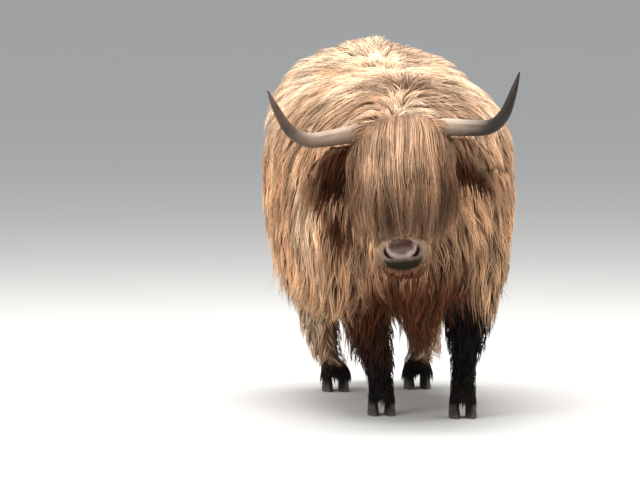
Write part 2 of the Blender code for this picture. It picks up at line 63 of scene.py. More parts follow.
# ---------------------------------------------------------------- the solids' places
SIDES = (("left", 1), ("right", -1))
EARS = ("ear_left", "ear_right")
LEGS = ("foreleg_left", "foreleg_right", "hindleg_left", "hindleg_right")
SHANKS = tuple(f"{leg}_shank" for leg in LEGS)
FLESH = ("trunk", "neck", "head", "muzzle", *EARS, "tail", "udder", *LEGS, *SHANKS)
HEAD_DOWN = math.radians(57)  # how far the face hangs below level
EYE_DOWN, EYE_IN = 0.184, 0.062  # the eyes' place: down the face, into it


def unit(vectors):
    """The vectors at length one."""
    length = np.linalg.norm(vectors, axis=-1, keepdims=True)
    return vectors / np.maximum(length, 1e-9)


def box(node):
    """Lowest and highest corner of a node."""
    low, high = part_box(node)
    return np.array(low), np.array(high)


def centre(node):
    """Middle of a node's box."""
    low, high = box(node)
    return (low + high) / 2


TRUNK_LOW, TRUNK_HIGH = box("trunk")
MIDLINE = (TRUNK_LOW[0] + TRUNK_HIGH[0]) / 2
EYES = {word: centre(f"eye_{word}") for word, _ in SIDES}
EYE_RADIUS = float(np.ptp(box("eye_left"), axis=0)[0] / 2)
HEAD_LEFT = unit(EYES["left"] - EYES["right"])
AHEAD = unit(np.cross(HEAD_LEFT, (0, 0, 1)))
HEAD_UP = np.cross(AHEAD, HEAD_LEFT)
FACE_DOWN = math.cos(HEAD_DOWN) * AHEAD - math.sin(HEAD_DOWN) * HEAD_UP
FACE_OUT = math.sin(HEAD_DOWN) * AHEAD + math.cos(HEAD_DOWN) * HEAD_UP
POLL = (EYES["left"] + EYES["right"]) / 2 - EYE_DOWN * FACE_DOWN + EYE_IN * FACE_OUT


def face_place(points):
    """Distance down the face, height out of it and place aside, from the poll."""
    offset = points - POLL
    return offset @ FACE_DOWN, offset @ FACE_OUT, offset @ HEAD_LEFT


def on_face(down, out, aside):
    """The point at that distance down the face, height out of it and place aside."""
    places = np.broadcast_arrays(down, out, aside)
    down, out, aside = (np.asarray(place, float)[..., None] for place in places)
    return POLL + down * FACE_DOWN + out * FACE_OUT + aside * HEAD_LEFT


# ---------------------------------------------------------------- small maths
def ease(low, high, value):
    """0 below low, 1 above high, and a smooth s-curve between."""
    t = np.clip((value - low) / (high - low), 0, 1)
    return t * t * (3 - 2 * t)


def bump(value, middle, reach):
    """1 at the middle, falling as a bell to nothing at about twice the reach."""
    return np.exp(-(((value - middle) / reach) ** 2))


def dot(first, second):
    """Row by row scalar product, kept as a column."""
    return (first * second).sum(-1, keepdims=True)


def towards(x, y, z):
    """Directions of length one from their three parts."""
    return unit(np.stack(np.broadcast_arrays(x, y, z), axis=-1))


def between_ways(turn, first, second):
    """The direction that a turn from the first way towards the second gives."""
    return np.cos(turn)[..., None] * first + np.sin(turn)[..., None] * second


def smooth_path(stations, count):
    """The stations resampled at even steps along a cubic that passes through all of them."""
    rows = np.asarray(stations, float)
    slopes = np.gradient(rows, axis=0)
    at = np.linspace(0, len(rows) - 1, count)
    first = np.minimum(at.astype(int), len(rows) - 2)
    t = (at - first)[:, None]
    return (
        rows[first] * (1 + 2 * t) * (1 - t) ** 2
        + slopes[first] * t * (1 - t) ** 2
        + rows[first + 1] * t**2 * (3 - 2 * t)
        - slopes[first + 1] * t**2 * (1 - t)
    )


def gathered(index, values, count):
    """Sums the values at their places in a list of that many rows."""
    index = index.ravel()
    values = values.reshape(len(index), -1)
    columns = [np.bincount(index, column, count) for column in values.T]
    return np.stack(columns, axis=1)


# ---------------------------------------------------------------- meshes
def linked(name, data):
    """A new object of that data in the scene."""
    item = bpy.data.objects.new(name, data)
    bpy.context.scene.collection.objects.link(item)
    return item


def new_piece(name, points, faces, corners, material, slot):
    """A mesh piece from points and from faces of several sizes, told by their corner counts."""
    mesh = bpy.data.meshes.new(name)
    mesh.vertices.add(len(points))
    mesh.vertices.foreach_set("co", np.ascontiguousarray(points, np.float32).ravel())
    mesh.loops.add(len(faces))
    mesh.loops.foreach_set("vertex_index", np.asarray(faces, np.int32))
    mesh.polygons.add(len(corners))
    starts = np.concatenate([[0], np.cumsum(corners)[:-1]]).astype(np.int32)
    mesh.polygons.foreach_set("loop_start", starts)
    mesh.update(calc_edges=True)
    mesh.materials.append(material)
    piece = linked(name, mesh)
    if slot:
        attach(piece, "root")
    return piece


def grid_piece(name, rings, material, slot):
    """A piece over rows of rings: quads between the rings, and one face over either end."""
    rows, columns = rings.shape[:2]
    index = np.arange(rows * columns).reshape(rows, columns)
    turned = np.roll(index, -1, axis=1)
    quads = np.stack([index[:-1], turned[:-1], turned[1:], index[1:]], axis=-1)
    faces = np.concatenate([quads.ravel(), index[0, ::-1], index[-1]])
    corners = np.concatenate([np.full((rows - 1) * columns, 4), [columns, columns]])
    return new_piece(name, rings.reshape(-1, 3), faces, corners, material, slot)


def keep_numbers(mesh, **fields):
    """Stores one number for each vertex under each name, for the materials to read."""
    for name, values in fields.items():
        layer = mesh.attributes.new(name, "FLOAT", "POINT")
        layer.data.foreach_set("value", np.ascontiguousarray(values, np.float32).ravel())


def rows_of(items, key, width, kind=np.float32):
    """One row of numbers for each item in a mesh's list."""
    values = np.empty(len(items) * width, kind)
    items.foreach_get(key, values)
    return values.reshape(-1, width)


def node_shape(name):
    """A solid's points, its doubles merged, and its triangles."""
    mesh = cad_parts[name].data
    mesh.calc_loop_triangles()
    points = rows_of(mesh.vertices, "co", 3).round(6)
    merged, same = np.unique(points, axis=0, return_inverse=True)
    triangles = same.ravel()[rows_of(mesh.loop_triangles, "vertices", 3, np.int32)]
    whole = (triangles != np.roll(triangles, -1, axis=1)).all(1)
    return merged.astype(float), triangles[whole]


def corner_normals(points, triangles):
    """Outward normal at each point: the sum of the normals of the triangles round it."""
    first, second, third = (points[corner] for corner in triangles.T)
    normal = np.cross(third - first, third - second)
    return unit(gathered(triangles, normal[:, None, :].repeat(3, 1), len(points)))


def joined(names, growth=0.0):
    """Several solids, each grown outwards, as one mesh, with each triangle's solid's number."""
    points, triangles, owner, start = [], [], [], 0
    for number, name in enumerate(names):
        place, faces = node_shape(name)
        points.append(place + growth * corner_normals(place, faces))
        triangles.append(faces + start)
        owner.append(np.full(len(faces), number))
        start += len(place)
    return np.concatenate(points), np.concatenate(triangles), np.concatenate(owner)


def fused_shape(names, voxel, detail=()):
    """One closed surface over several solids, each grown a little so that no gap is left.

    The solids are remeshed together on cubes of the voxel's size. Each detail is a middle, a
    reach and a number of rounds: the edges within reach are halved that many times.
    """
    points, triangles, _ = joined(names, growth=0.0015)
    mesh = bpy.data.meshes.new("fused")
    mesh.from_pydata(points, [], triangles)
    guide = linked("fused", mesh)
    remesh = guide.modifiers.new("fused", "REMESH")
    remesh.mode = "VOXEL"
    remesh.voxel_size = voxel
    shape = bmesh.new()
    shape.from_object(guide, bpy.context.evaluated_depsgraph_get())
    for middle, reach, rounds in detail:
        for _ in range(rounds):
            starts = np.array([edge.verts[0].co for edge in shape.edges])
            near = np.linalg.norm(starts - middle, axis=1) < reach
            edges = [edge for edge, close in zip(shape.edges, near) if close]
            bmesh.ops.subdivide_edges(shape, edges=edges, cuts=1, use_grid_fill=True)
    bmesh.ops.triangulate(shape, faces=shape.faces)
    shape.to_mesh(mesh)
    shape.free()
    points = rows_of(mesh.vertices, "co", 3).astype(float)
    triangles = rows_of(mesh.loops, "vertex_index", 1, np.int32).reshape(-1, 3)
    bpy.data.objects.remove(guide)
    bpy.data.meshes.remove(mesh)
    return main_body(points, triangles)


def main_body(points, triangles):
    """The largest of the separate bodies in a mesh, found by passing the lowest number on."""
    label = np.arange(len(points))
    first, second = np.concatenate([triangles[:, :2], triangles[:, 1:]]).T
    before = None
    while not np.array_equal(before, label):
        before = label.copy()
        low = np.minimum(label[first], label[second])
        np.minimum.at(label, first, low)
        np.minimum.at(label, second, low)
        label = label[label]
    kept = label == np.bincount(label).argmax()
    renumbered = np.cumsum(kept) - 1
    return points[kept], renumbered[triangles[kept[triangles[:, 0]]]]


class Surface:
    """A triangle mesh with numbers at its points, which can be asked for its nearest place."""

    def __init__(self, points, triangles):
        self.points = points
        self.triangles = triangles
        self.fields = {}
        pairs = np.concatenate([triangles[:, :2], triangles[:, 1:], triangles[:, ::2]])
        self.pairs = np.unique(np.sort(pairs, axis=1), axis=0)
        both = self.pairs.ravel()
        self.neighbours = np.maximum(np.bincount(both, minlength=len(points)), 1)[:, None]
        self.settle()

    def settle(self):
        """Works out the normals again after the points have moved, and drops the old tree."""
        self.normals = corner_normals(self.points, self.triangles)
        self.tree = None

    def total(self, names):
        """The sum of the numbers kept under several names."""
        return sum(self.fields[name] for name in names)

    def smoothed(self, values, rounds):
        """Values at the points, each drawn halfway to its neighbours' mean in every round."""
        values = values.reshape(len(self.points), -1)
        first, second = self.pairs.T
        index = np.concatenate([first, second])
        for _ in range(rounds):
            total = gathered(index, np.concatenate([values[second], values[first]]), len(values))
            values = values + 0.5 * (total / self.neighbours - values)
        return values

    def search_tree(self):
        """The tree that finds places on the surface."""
        if self.tree is None:
            self.tree = BVHTree.FromPolygons(self.points.tolist(), self.triangles.tolist())
            self.face_normals = unit(self.normals[self.triangles].sum(1))
        return self.tree

    def near(self, points):
        """Nearest place on the surface to each point, and the smooth normal there."""
        find = self.search_tree().find_nearest
        found = [find(row) for row in points.reshape(-1, 3).tolist()]
        place = np.array([hit[0][:] for hit in found])
        normal = self.face_normals[np.array([hit[2] for hit in found])]
        return place.reshape(points.shape), normal.reshape(points.shape)


work = {}  # what the skin's operator leaves for the coat's: skin, outer hull and coat material


# ---------------------------------------------------------------- shader sums
def sums(operation, reflected=False):
    """A method that adds a Math node of that operation to a value's material."""

    def method(self, other):
        pair = (other, self) if reflected else (self, other)
        return self.finish.add("ShaderNodeMath", {"operation": operation}, dict(enumerate(pair)))

    return method


class Value:
    """A node's output that can be used in sums."""

    def __init__(self, finish, socket):
        self.finish = finish
        self.socket = socket

    __add__, __radd__ = sums("ADD"), sums("ADD", reflected=True)
    __sub__, __rsub__ = sums("SUBTRACT"), sums("SUBTRACT", reflected=True)
    __mul__, __rmul__ = sums("MULTIPLY"), sums("MULTIPLY", reflected=True)
    __truediv__, __pow__ = sums("DIVIDE"), sums("POWER")

    def between(self, low, high):
        """0 at low, 1 at high, with a smooth s-curve between."""
        settings = {"interpolation_type": "SMOOTHSTEP"}
        values = {"Value": self, "From Min": low, "From Max": high}
        return self.finish.add("ShaderNodeMapRange", settings, values)


class Finish:
    """A material with one Principled BSDF, built by adding nodes."""

    def __init__(self, name, **sockets):
        self.material = bpy.data.materials.new(name)
        self.material.use_nodes = True
        self.nodes = self.material.node_tree.nodes
        self.links = self.material.node_tree.links
        self.shader = self.nodes["Principled BSDF"]
        for socket, value in sockets.items():
            self.set(socket.replace("_", " "), value)

    def set(self, socket, value):
        """Gives the shader's socket a value or a link."""
        self.fill(self.shader.inputs[socket], value)

    def fill(self, socket, value):
        """Links a value to a socket, or sets the socket's own number, vector or colour."""
        if isinstance(value, Value):
            self.links.new(value.socket, socket)
        elif socket.type == "RGBA":
            socket.default_value = (*value[:3], 1.0)
        else:
            socket.default_value = value

    def add(self, kind, settings=None, values=None, output=0):
        """A node of that type, its settings made first, then its sockets' values or links."""
        node = self.nodes.new(kind)
        for key, value in (settings or {}).items():
            setattr(node, key, value)
        for key, value in (values or {}).items():
            self.fill(node.inputs[key], value)
        return Value(self, node.outputs[output])

    def field(self, name):
        """A number stored at the piece's points."""
        return self.add("ShaderNodeAttribute", {"attribute_name": name}, output="Fac")

    def place(self):
        """The place in the cow's own space."""
        return self.add("ShaderNodeTexCoord", output="Object")

    def vector(self, x, y, z=0.0):
        """A vector from its three numbers."""
        return self.add("ShaderNodeCombineXYZ", values={"X": x, "Y": y, "Z": z})

    def stretched(self, scale):
        """The place, scaled along each axis, for a pattern that is longer one way."""
        return self.add("ShaderNodeMapping", values={"Vector": self.place(), "Scale": scale})

    def noise(self, scale, detail=3.0, vector=None, roughness=0.5):
        """Soft random pattern from 0 to 1."""
        values = {"Scale": scale, "Detail": detail, "Roughness": roughness}
        values["Vector"] = vector or self.place()
        return self.add("ShaderNodeTexNoise", values=values)

    def mix(self, factor, first, second, blend="MIX"):
        """Two colours mixed by a factor."""
        settings = {"data_type": "RGBA", "blend_type": blend, "clamp_factor": True}
        return self.add("ShaderNodeMix", settings, {0: factor, 6: first, 7: second}, output=2)

    def raise_by(self, height, distance):
        """Bumps the surface by a height from 0 to 1."""
        values = {"Height": height, "Distance": distance, "Strength": 1.0}
        self.set("Normal", self.add("ShaderNodeBump", values=values))


def marked_colour(finish, look):
    """The coat's colour, shared by skin and locks: gold, paler, redder or darker as marked, where the
    marks also hold painted light and painted shade.
    """
    colour = finish.mix(finish.field("pale"), look.gold, look.cream)
    colour = finish.mix(finish.field("red"), colour, look.russet)
    return finish.mix(finish.field("dark"), colour, look.black)


# ---------------------------------------------------------------- settings
def length_of(name, text, default):
    """A setting in metres."""
    return bpy.props.FloatProperty(
        name=name, description=text, default=default, min=0.0, unit="LENGTH", precision=4
    )


def share_of(name, text, default):
    """A setting from nothing to all."""
    return bpy.props.FloatProperty(
        name=name, description=text, default=default, min=0.0, max=1.0, subtype="FACTOR"
    )


def colour_of(name, text, default):
    """A colour setting."""
    return bpy.props.FloatVectorProperty(
        name=name, description=text, default=default, size=3, min=0.0, max=1.0, subtype="COLOR"
    )


class CoatLook(bpy.types.PropertyGroup):
    """Colours and locks of the coat"""

    gold: colour_of("Gold", "Hair on the sides and over the face", (0.86, 0.535, 0.315))
    # partly sun-bleached hair, partly painted light on the lit back and rump
    cream: colour_of("Cream", "Bleached hair on the back and rump", (0.88, 0.67, 0.47))
    shade: colour_of("Shade", "Darker patches in the gold", (0.48, 0.235, 0.110))
    # partly the breast's own russet hair, partly the painted shade that the red marks carry
    russet: colour_of("Russet", "Hair of the breast and under the neck", (0.135, 0.040, 0.014))
    black: colour_of("Black", "Hair of the lower legs", (0.006, 0.004, 0.003))
    # painted shade: the colour of the depth between the locks
    root: colour_of("Root", "Depth between the locks", (0.12, 0.046, 0.019))
    amount: share_of("Amount", "Share of the locks that is made", 1.0)
    width: length_of("Lock width", "Width of a lock on the sides", 0.0052)
    wave: length_of("Wave", "How far a long lock swings to either side", 0.0055)
    seed: bpy.props.IntProperty(name="Seed", description="Changes where locks grow", default=7)


class SkinLook(bpy.types.PropertyGroup):
    """Grain, depth and bare colours of the skin"""

    voxel: length_of("Grain", "Size of the skin's faces", 0.0145)
    coat_depth: length_of("Coat depth", "Coat over the trunk", 0.034)
    nose: colour_of("Nose", "Bare skin round the nostrils", (0.25, 0.175, 0.150))
    nose_dark: colour_of("Nose shade", "Dark patches on the nose", (0.050, 0.015, 0.009))
    chin: colour_of("Chin", "Lips stained by grazing", (0.009, 0.009, 0.0015))
    udder: colour_of("Udder", "Bare skin of the udder", (0.52, 0.33, 0.27))


class HornLook(bpy.types.PropertyGroup):
    """Colours of horns and claws"""

    base: colour_of("Base", "Horn near the head", (0.44, 0.315, 0.23))
    middle: colour_of("Middle", "Horn halfway", (0.30, 0.23, 0.17))
    tip: colour_of("Tip", "Horn's tip", (0.022, 0.016, 0.012))
    claw: colour_of("Claw", "Hoof horn", (0.020, 0.016, 0.013))


class StageLook(bpy.types.PropertyGroup):
    """Floor and sky"""

    floor: colour_of("Floor", "Colour of the floor", (0.60, 0.595, 0.58))
    sky: bpy.props.FloatProperty(
        name="Sky", description="Strength of the light from all sides", default=0.62, min=0.0
    )


# ---------------------------------------------------------------- skin
# coat depth over each group of nodes, as a share of the trunk's; the muzzle has none
COAT_SHARES = {
    "trunk": 1.0,
    "neck": 1.0,
    "head": 0.28,
    **dict.fromkeys(EARS, 0.12),
    "tail": 0.30,
    "udder": 0.02,
    **dict.fromkeys(LEGS, 0.55),
    **dict.fromkeys(SHANKS, 0.13),
}
HULL_VOXEL = 0.016
PAD_TOP = on_face(0.466, -0.008, 0.0)  # the bare nose pad's upper and lower edge
PAD_FOOT = on_face(0.530, -0.082, 0.0)
PAD_DOWN = unit(PAD_FOOT - PAD_TOP)
PAD_OUT = np.cross(PAD_DOWN, HEAD_LEFT)
# strokes on the pad: aside, down, half width; a nostril from its inner end, and the pale band
NOSTRIL = (
    (0.057, 0.014, 0.0030),
    (0.058, 0.027, 0.0075),
    (0.049, 0.040, 0.0080),
    (0.034, 0.046, 0.0030),
)
BAND = (
    (0.050, 0.017, 0.004),
    (0.041, 0.032, 0.006),
    (0.022, 0.042, 0.007),
    (0.000, 0.047, 0.007),
)


def pad_place(points):
    """Place on the nose pad: down it, out of it and aside."""
    offset = points - PAD_TOP
    return offset @ PAD_DOWN, offset @ PAD_OUT, offset @ HEAD_LEFT


def stroke_gap(aside, down, stations):
    """Distance from each point to a curved stroke, less the stroke's own half width."""
    rows = smooth_path(stations, 14)
    gap = np.hypot(aside[:, None] - rows[:, 0], down[:, None] - rows[:, 1]) - rows[:, 2]
    return gap.min(1)


def sculpt_muzzle(skin):
    """Nostrils and their rims, the groove between them, the band under them, lip and mouth.

    Each is a bell or an s-curve of the distance to a stroke or a level on the pad. The rims, the
    band and the nostrils stand out, and the other lines go in. Known fault: real nostrils go in.
    """
    down, proud, aside = pad_place(skin.points)
    face_down, face_out, _ = face_place(skin.points)
    around = ease(0.380, 0.430, face_down)
    relaxed = skin.smoothed(skin.points, 10)
    skin.points = skin.points + (relaxed - skin.points) * around[:, None]
    front = ease(-0.055, -0.010, proud) * around
    wide = np.abs(aside)
    gap = stroke_gap(wide, down, NOSTRIL)
    nostril = (1 - ease(-0.004, 0.004, gap)) * front
    rim = bump(gap, 0.009, 0.006) * front * ease(0.020, 0.045, 0.09 - wide)
    groove = bump(wide, 0.0, 0.006) * ease(0.010, 0.050, down) * front
    lip = bump(down, 0.088, 0.005) * front
    cheek_line = bump(face_out, -0.104 - 0.10 * (0.52 - face_down), 0.005)
    mouth = cheek_line * ease(0.385, 0.420, face_down) * ease(-0.02, -0.06, proud)
    band = ease(0.004, -0.004, stroke_gap(wide, down, BAND)) * front
    lift = 0.004 * rim + 0.0025 * band - 0.0030 * groove - 0.004 * lip - 0.005 * mouth
    raised = lift[:, None] * skin.normals + (0.015 * nostril)[:, None] * PAD_OUT
    skin.points = skin.points + raised
    skin.fields["nostril"] = nostril
    skin.fields["band"] = band * (0.35 + 0.50 * ease(0.006, 0.034, wide))
    skin.fields["lip"] = np.clip(lip + mouth, 0, 1)
    skin.settle()


def eye_frame(side):
    """The way the eye looks, up across the lids and along them towards the nose."""
    look = unit(0.93 * side * HEAD_LEFT + 0.30 * FACE_OUT + 0.10 * AHEAD)
    nose = unit(FACE_DOWN - look * (FACE_DOWN @ look))
    return look, np.cross(nose, look) * side, nose


def sculpt_lids(skin, word, side):
    """Opens an almond between two lids over the eyeball, and folds the skin round it.

    Points near the eye are put at a new distance from its middle: inside it in the opening,
    just proud of it on the lids, then as they were.
    """
    look, up, nose = eye_frame(side)
    offset = skin.points - EYES[word]
    distance = np.linalg.norm(offset, axis=1)
    ray = unit(offset)
    across, tall, ahead = ray @ nose, ray @ up, ray @ look
    opening = 0.52 * (1 - np.clip((across / 0.95) ** 2, 0, 1)) ** 0.8
    edge = np.abs(tall + 0.05 * across) - opening
    lid = EYE_RADIUS + 0.0035 + 0.0012 * np.cos(edge * 26) * ease(0.10, 0.30, edge)
    inside = ease(0.02, -0.06, edge)
    target = lid * (1 - inside) + 0.86 * EYE_RADIUS * inside
    spread = ease(0.052, 0.026, distance) * ease(0.05, 0.35, ahead)
    spread = np.maximum(spread, inside * ease(0.0, 0.3, ahead) * (distance < 0.05))
    moved = distance + (target - distance) * spread
    skin.points = EYES[word] + ray * moved[:, None]
    skin.fields["lid"] = np.maximum(skin.fields["lid"], spread * ease(0.30, 0.0, edge))
    skin.settle()


def sculpt_ear(skin, word, side):
    """Cups the side of the ear that looks ahead: a dish as deep as the ear is wide allows."""
    ear = f"ear_{word}"
    middle = centre(ear)
    low, high = box(ear)
    reach = (high[0] - low[0]) / 2
    across = (skin.points[:, 0] - middle[0]) / reach
    slope = (high[2] - low[2]) * 0.45 / reach
    tall = (skin.points[:, 2] - middle[2] + slope * across * reach * side) / 0.055
    dish = np.clip(1 - across**2 * 0.9 - tall**2, 0, 1)
    facing = ease(0.1, 0.6, -skin.normals[:, 1])
    skin.points[:, 1] += 0.010 * dish * facing * skin.fields[ear]
    skin.settle()


def sculpt_hems(skin):
    """Widens the lowest end of each leg until it meets the outline of its two claws."""
    for leg in LEGS:
        corners = np.array([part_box(f"{leg}_claw_{word}") for word, _ in SIDES])
        low, high = corners[:, 0].min(0), corners[:, 1].max(0)
        middle = (low + high) / 2
        half = (high - low) / 2 * (1.02, 0.94, 1)
        offset = (skin.points - middle)[:, :2]
        gap = np.linalg.norm(offset / half[:2], axis=1)
        share = ease(0.130, 0.070, skin.points[:, 2]) * ease(-0.75, -0.25, skin.normals[:, 2])
        share = share * (gap < 1.6) * ease(0.2, 0.5, gap)
        grow = 1 + (np.clip(1 / np.maximum(gap, 0.2), 1, 3) - 1) * share
        skin.points[:, :2] = middle[:2] + offset * grow[:, None]
    skin.settle()


def nearest_nodes(skin, names):
    """A number for each node at each point: 1 where that node is the nearest, and softened."""
    points, triangles, owner = joined(names)
    tree = BVHTree.FromPolygons(points.tolist(), triangles.tolist())
    nearest = owner[[tree.find_nearest(row)[2] for row in skin.points.tolist()]]
    whole = (nearest[:, None] == np.arange(len(names))).astype(float)
    return dict(zip(names, skin.smoothed(whole, 6).T))


def shrink(skin, depth, steps=8):
    """Draws the surface in by its coat's depth in small steps, smoothed between them."""
    for _ in range(steps):
        skin.points = skin.points - skin.normals * (depth / steps)[:, None]
        relaxed = skin.smoothed(skin.points, 2)
        share = np.clip(depth / 0.012, 0, 1)[:, None]
        skin.points = skin.points + (relaxed - skin.points) * share
        skin.settle()


# places of painted shade, then places of painted light: middle, reach, how much
PAINTED_SHADE_PLACES = (
    (on_face(0.120, -0.120, 0.185), 0.075, 1.2),  # painted shade behind each ear's root, under the horns
    (on_face(0.120, -0.120, -0.185), 0.075, 1.3),
    ((-0.210, -0.57, 0.755), 0.072, 1.7),  # painted shade right of the face, under the head
    ((0.040, -0.44, 1.20), 0.068, 1.6),  # painted shade at the parting at the withers, and on the nape beside it
    ((0.110, -0.50, 1.13), 0.115, 0.50),
    ((0.000, 0.80, 1.26), 0.240, 0.24),  # painted shade over the top of the rump, which gets the most light
)
PAINTED_LIGHT_PLACES = (
    ((-0.330, -0.34, 0.76), 0.145, 1.0),  # painted highlight on the right shoulder's bulge
    ((-0.300, 0.30, 0.36), 0.200, 0.7),  # painted light on the hems of both flanks
    ((0.420, 0.00, 0.42), 0.180, 0.5),
)


def patch(skin, places):
    """The strongest at each point of the bells round some places."""
    found = np.zeros(len(skin.points))
    for middle, reach, depth in places:
        gap = np.linalg.norm(skin.points - middle, axis=1)
        found = np.maximum(found, depth * bump(gap, 0.0, reach))
    return found


def markings(skin):
    """Where the coat is pale, russet or black, and where light and shade are painted in, from places
    and from which limb a point is on.
    """
    x, y, z = skin.points.T
    side = np.abs(x - MIDLINE)
    up = skin.normals[:, 2]
    fields = skin.fields
    trunk, neck, head, muzzle = (fields[name] for name in ("trunk", "neck", "head", "muzzle"))
    ear_left, ear_right = (fields[name] for name in EARS)
    fore, hind = skin.total(LEGS[:2]), skin.total(LEGS[2:])
    outer = ease(-0.5, 0.3, skin.normals[:, 0] * np.sign(x - MIDLINE))
    back = ease(0.20, 0.85, up) * ease(0.90, 1.12, z)
    # the breast: partly its own russet hair, partly painted shade under the chest
    breast = ease(0.30, 0.12, side) * ease(-0.22, -0.46, y) * ease(0.74, 0.52, z)
    # painted shade on the underside of the neck below the head, with less of it high on the cow's right
    under = neck * ease(0.15, -0.50, up) * ease(1.0, 0.62, z) * ease(0.34, 0.16, side)
    under = under * (1 - 0.9 * ease(-0.03, -0.10, x - MIDLINE) * ease(0.46, 0.54, z))
    # painted shade round the shaded places listed above, kept off the middle of the face
    shade = patch(skin, PAINTED_SHADE_PLACES) * (1 - head * ease(0.144, 0.096, np.abs(x - POLL[0])))
    # ear tips, where the ears' painted shade fades out
    tip = ease(0.22, 0.31, np.abs(face_place(skin.points)[2]))
    pale = (
        # paler on the back, on the top of the neck and higher up: partly sun-bleached hair, partly
        # painted light on the tops
        0.75 * trunk * back
        + 0.65 * neck * ease(0.2, 0.9, up) * ease(0.9, 1.1, z)
        + 0.25 * (trunk + neck) * ease(0.75, 1.15, z)
        # painted light on the outer sides of the hind legs and of the lower trunk
        + 0.95 * hind * outer
        + 0.30 * trunk * ease(0.50, 0.34, z) * outer
        # painted light round the lit places listed above
        + patch(skin, PAINTED_LIGHT_PLACES)
        + 0.35 * trunk * ease(0.80, 0.45, z) * ease(0.40, 0.70, y)
        + 0.40 * fields["tail"]
        + 0.95 * muzzle * (1 - 0.6 * fields["from_pad"])
        + 0.2 * head
    )
    red = (
        0.95 * breast
        + 0.7 * under
        # the forelegs: partly their own reddish hair, partly painted shade under the chest
        + 0.65 * fore
        # ears redder: partly their own dark hair, partly painted shade under the horns, fading towards
        # the tips
        + (0.9 - 0.5 * tip) * (ear_left + ear_right)
        + shade
        + 0.30 * muzzle * fields["from_pad"]
        # painted light: the top of the left ear is less red
        - 0.60 * ear_left * ease(0.89, 0.97, z)
    )
    dark = (
        skin.total(SHANKS)
        # the forelegs darker lower down: partly their own darker hair, partly painted shade
        + 0.75 * fore * ease(0.42, 0.24, z)
        # ears darker, the right one more: partly their own dark hair, partly painted shade under the
        # horns
        + (0.30 * ear_right + 0.15 * ear_left) * (1 - tip)
        # the left foreleg darker from higher up: partly its own dark hair, partly painted shade
        + 0.9 * fields["foreleg_left"] * ease(0.56, 0.42, z)
        # the strongest painted shade also turns darker
        + 0.45 * np.clip(shade - 0.5, 0, 1)
        # painted shade on the inner sides of the hind legs, lower down
        + 0.6 * hind * (1 - outer) * ease(0.45, 0.25, z)
    )
    fields["pale"] = np.clip(pale * (1 - breast), 0, 1)
    fields["red"] = np.clip(red, 0, 1)
    fields["dark"] = np.clip(dark, 0, 1)


def bareness(skin):
    """Marks the nose pad, its dark top and stained chin, the way from it, and all bare skin."""
    down, proud, aside = pad_place(skin.points)
    rounded = np.hypot(aside / 0.074, (down - 0.046) / 0.060)
    pad = ease(1.10, 0.90, rounded) * ease(-0.050, -0.020, proud)
    pad = pad * ease(0.0, 0.5, skin.fields["muzzle"] + skin.fields["head"])
    top = 0.45 * ease(0.042, 0.028, down) + 0.53 * ease(0.028, 0.006, down)
    skin.fields["pad"] = pad
    skin.fields["pad_top"] = top * ease(0.050, 0.034, np.abs(aside))
    skin.fields["chin"] = 0.95 * ease(0.044, 0.072, down)
    skin.fields["from_pad"] = ease(1.05, 1.55, rounded) * ease(0.010, 0.060, down)
    skin.fields["bare"] = np.clip(pad + skin.fields["udder"], 0, 1)


def skin_finish(look, coat):
    """Skin: the coat's colour turned towards the depth colour as painted shade under the locks, hair
    streaks on the muzzle, wet nose, nostrils and the lip's crease painted near black as painted shade,
    stained lips, udder.
    """
    finish = Finish("skin", Specular_IOR_Level=0.08, Coat_Roughness=0.28)
    patches = finish.noise(9.0, 3.0)
    down, out, aside = (finish.field(f"face_{way}") for way in ("down", "out", "aside"))
    lying = finish.vector(down * 0.16, out, aside)
    hair = finish.noise(700.0, 3.0, lying, 0.6).between(0.30, 0.70)
    marked = marked_colour(finish, coat)
    deep = finish.mix(finish.field("dark"), coat.root, coat.black)
    # painted shade: the skin under the coat turns towards the depth colour, as the shade between the
    # locks
    under = finish.mix(0.55 + 0.25 * patches, marked, deep)
    short = finish.mix(0.42 + 0.55 * hair, deep, marked)
    under = finish.mix(finish.field("short"), under, short)
    pad, nostril, chin = finish.field("pad"), finish.field("nostril"), finish.field("chin")
    blotch = finish.noise(45.0, 4.0).between(0.42, 0.66)
    nose = finish.mix(0.50 * blotch, look.nose, look.nose_dark)
    nose = finish.mix(0.30 * finish.noise(60.0), nose, (0.16, 0.09, 0.07))
    nose = finish.mix(finish.field("pad_top"), nose, look.nose_dark)
    nose = finish.mix(finish.field("band"), nose, (0.46, 0.36, 0.315))
    nose = finish.mix(chin, nose, look.chin)
    pores = finish.add("ShaderNodeTexVoronoi", values={"Scale": 330.0, "Vector": finish.place()})
    bare = finish.mix(finish.field("udder"), nose, look.udder)
    colour = finish.mix(finish.field("bare"), under, bare)
    colour = finish.mix(finish.field("lid"), colour, (0.045, 0.024, 0.018))
    # painted shade: the nostrils are painted near black to stand for openings
    colour = finish.mix(nostril, colour, (0.010, 0.003, 0.002))
    # painted shade: the lip line and the mouth slit are painted near black in their creases
    colour = finish.mix(0.8 * finish.field("lip"), colour, (0.012, 0.009, 0.006))
    finish.set("Base Color", colour)
    wet = pad * (1 - nostril) * (1 - chin)
    finish.set("Roughness", 0.80 - 0.40 * wet + 0.10 * patches)
    finish.set("Coat Weight", 0.40 * wet)
    finish.raise_by(hair * (1 - pad) + pores * pad, 0.0018)
    return finish.material


